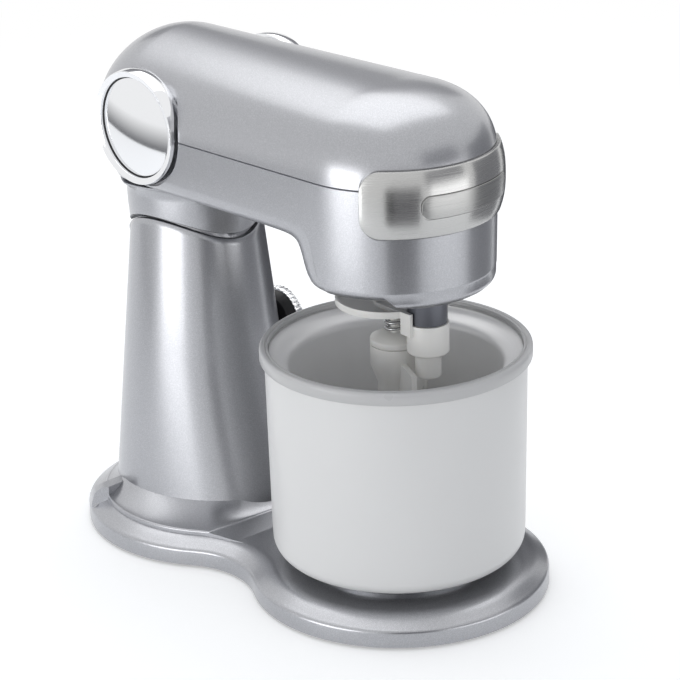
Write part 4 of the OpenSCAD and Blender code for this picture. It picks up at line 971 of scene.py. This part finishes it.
spring_wire = finish_material("drawn spring steel", "#b5b6b8", 0.2, metallic=1.0, grain=2500.0)
low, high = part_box("pressure_spring")
wire_r, coil_r, turns, steps_a_turn = 0.95 * mm, 6.3 * mm, 4, 28
shape = bmesh.new()
bmesh.ops.create_circle(shape, cap_ends=True, segments=12, radius=wire_r,
                        matrix=Matrix.Translation((coil_r, 0, low.z + wire_r))
                        @ Matrix.Rotation(math.pi / 2, 4, "X"))
steps = turns * steps_a_turn
climb = (high.z - low.z - 2 * wire_r) / steps
bmesh.ops.spin(shape, geom=shape.verts[:] + shape.edges[:] + shape.faces[:], cent=(0, 0, 0), axis=(0, 0, 1),
               dvec=(0, 0, climb), angle=turns * 2 * math.pi, steps=steps, use_merge=False)
bmesh.ops.recalc_face_normals(shape, faces=shape.faces)
new_piece("coil_spring", shape, "churn", spring_wire, ["pressure_spring"], sharp=60)
rounded_node("hub_cap", "dasher_cap", "churn", white_plastic, 0.6 * mm, angle=30)
rounded_node("scraper_dasher", "dasher", "churn", white_plastic, 0.7 * mm, angle=30)


# ---- Freezer bowl ----
# A double-walled bowl: white painted outside, a spun aluminium liner inside, freezing gel between
# them, a grey moulded rim that holds the two together and a bayonet foot.

def spun_aluminium(name):
    """aluminium spun on a lathe and anodised: fine rings round the axis, a soft satin shine"""
    made, tree = new_material(name)
    place = add_node(tree, "ShaderNodeTexCoord")
    # the tool's rings are about 0.2 mm apart; drawn 0.6 mm apart so that they show
    rings = add_node(tree, "ShaderNodeTexWave",
                     {"Vector": place.outputs["Object"], "Scale": 500.0, "Distortion": 1.5, "Detail": 2.0},
                     wave_type="RINGS", rings_direction="Z")
    relief = add_node(tree, "ShaderNodeBump",
                      {"Height": rings.outputs[0], "Strength": 0.15, "Distance": 0.03 * mm})
    return principled(made, {"Base Color": colour("#f0f0f0"), "Metallic": 0.2, "Roughness": 0.38,
                             "Normal": relief.outputs[0]})


def turned_piece(name, profile, material, node, sharp=40):
    """a piece of the bowl, spun from its outline in mm"""
    shape = turned(profile, segments=192)
    tidy(shape)
    new_piece(name, shape, "bowl", material, [node], sharp=sharp)


bowl_white = finish_material("white baked enamel", "#e2e2e1", 0.34, grain=1200.0, strength=0.08)
rim_grey = finish_material("light grey moulded rim", "#c2c2c2", 0.3, grain=1600.0)
gel = finish_material("freezing gel", "#bcd3e6", 0.3)
liner_metal = spun_aluminium("spun aluminium")

wall_profile = [(82.9, 163.3), (81.4, 40.5)] + arc(72.7, 39, 8.8, 350, 270, 8) + [(40, 30.2), (40, 28)]
wall_profile += arc(72.9, 39, 11, 270, 352, 14) + [(84.1, 44), (85.4, 163.4), (82.9, 163.3)]
turned_piece("bowl_wall", wall_profile, bowl_white, "bowl_shell")
rounded_node("bayonet_foot", "bowl_foot", "bowl", bowl_white, 0.4 * mm, segments=2)
rim_profile = [(85.5, 163.4), (88.1, 163.4), (88.6, 163.9), (88.6, 169.4)] + arc(86.2, 169.4, 2.4, 5, 90, 8)
rim_profile += [(85.3, 171.95), (84.9, 171.75), (84.6, 171.2), (84.3, 171.0), (84.0, 171.2), (83.8, 171.6)]
rim_profile += [(83.4, 171.7), (82.9, 171.5), (82.6, 171.0), (82.6, 163.4), (85.5, 163.4)]
turned_piece("bowl_rim_ring", rim_profile, rim_grey, "bowl_rim", sharp=50)
liner_profile = [(82.2, 169), (82.2, 167.4), (80.8, 165.4), (78.6, 163.8), (76, 162.5), (74, 161.6),
                 (72.3, 160.6), (70.9, 159.4), (70, 157.9), (69.5, 156), (67.8, 102), (66, 50)]
liner_profile += arc(60.5, 49.5, 5.5, 0, -90, 6)
liner_profile += [(30, 44), (5, 44), (4.6, 44.4), (4.6, 54.2), (3.8, 55), (0, 55), (0, 42.4), (61.5, 42.4),
                  (66, 45.4), (67.6, 50), (71, 155.8), (72.3, 158.4), (75, 160), (81, 163.6), (82.2, 165),
                  (82.2, 169)]
turned_piece("spun_liner", liner_profile, liner_metal, "bowl_liner")
coat(gel, "coolant")
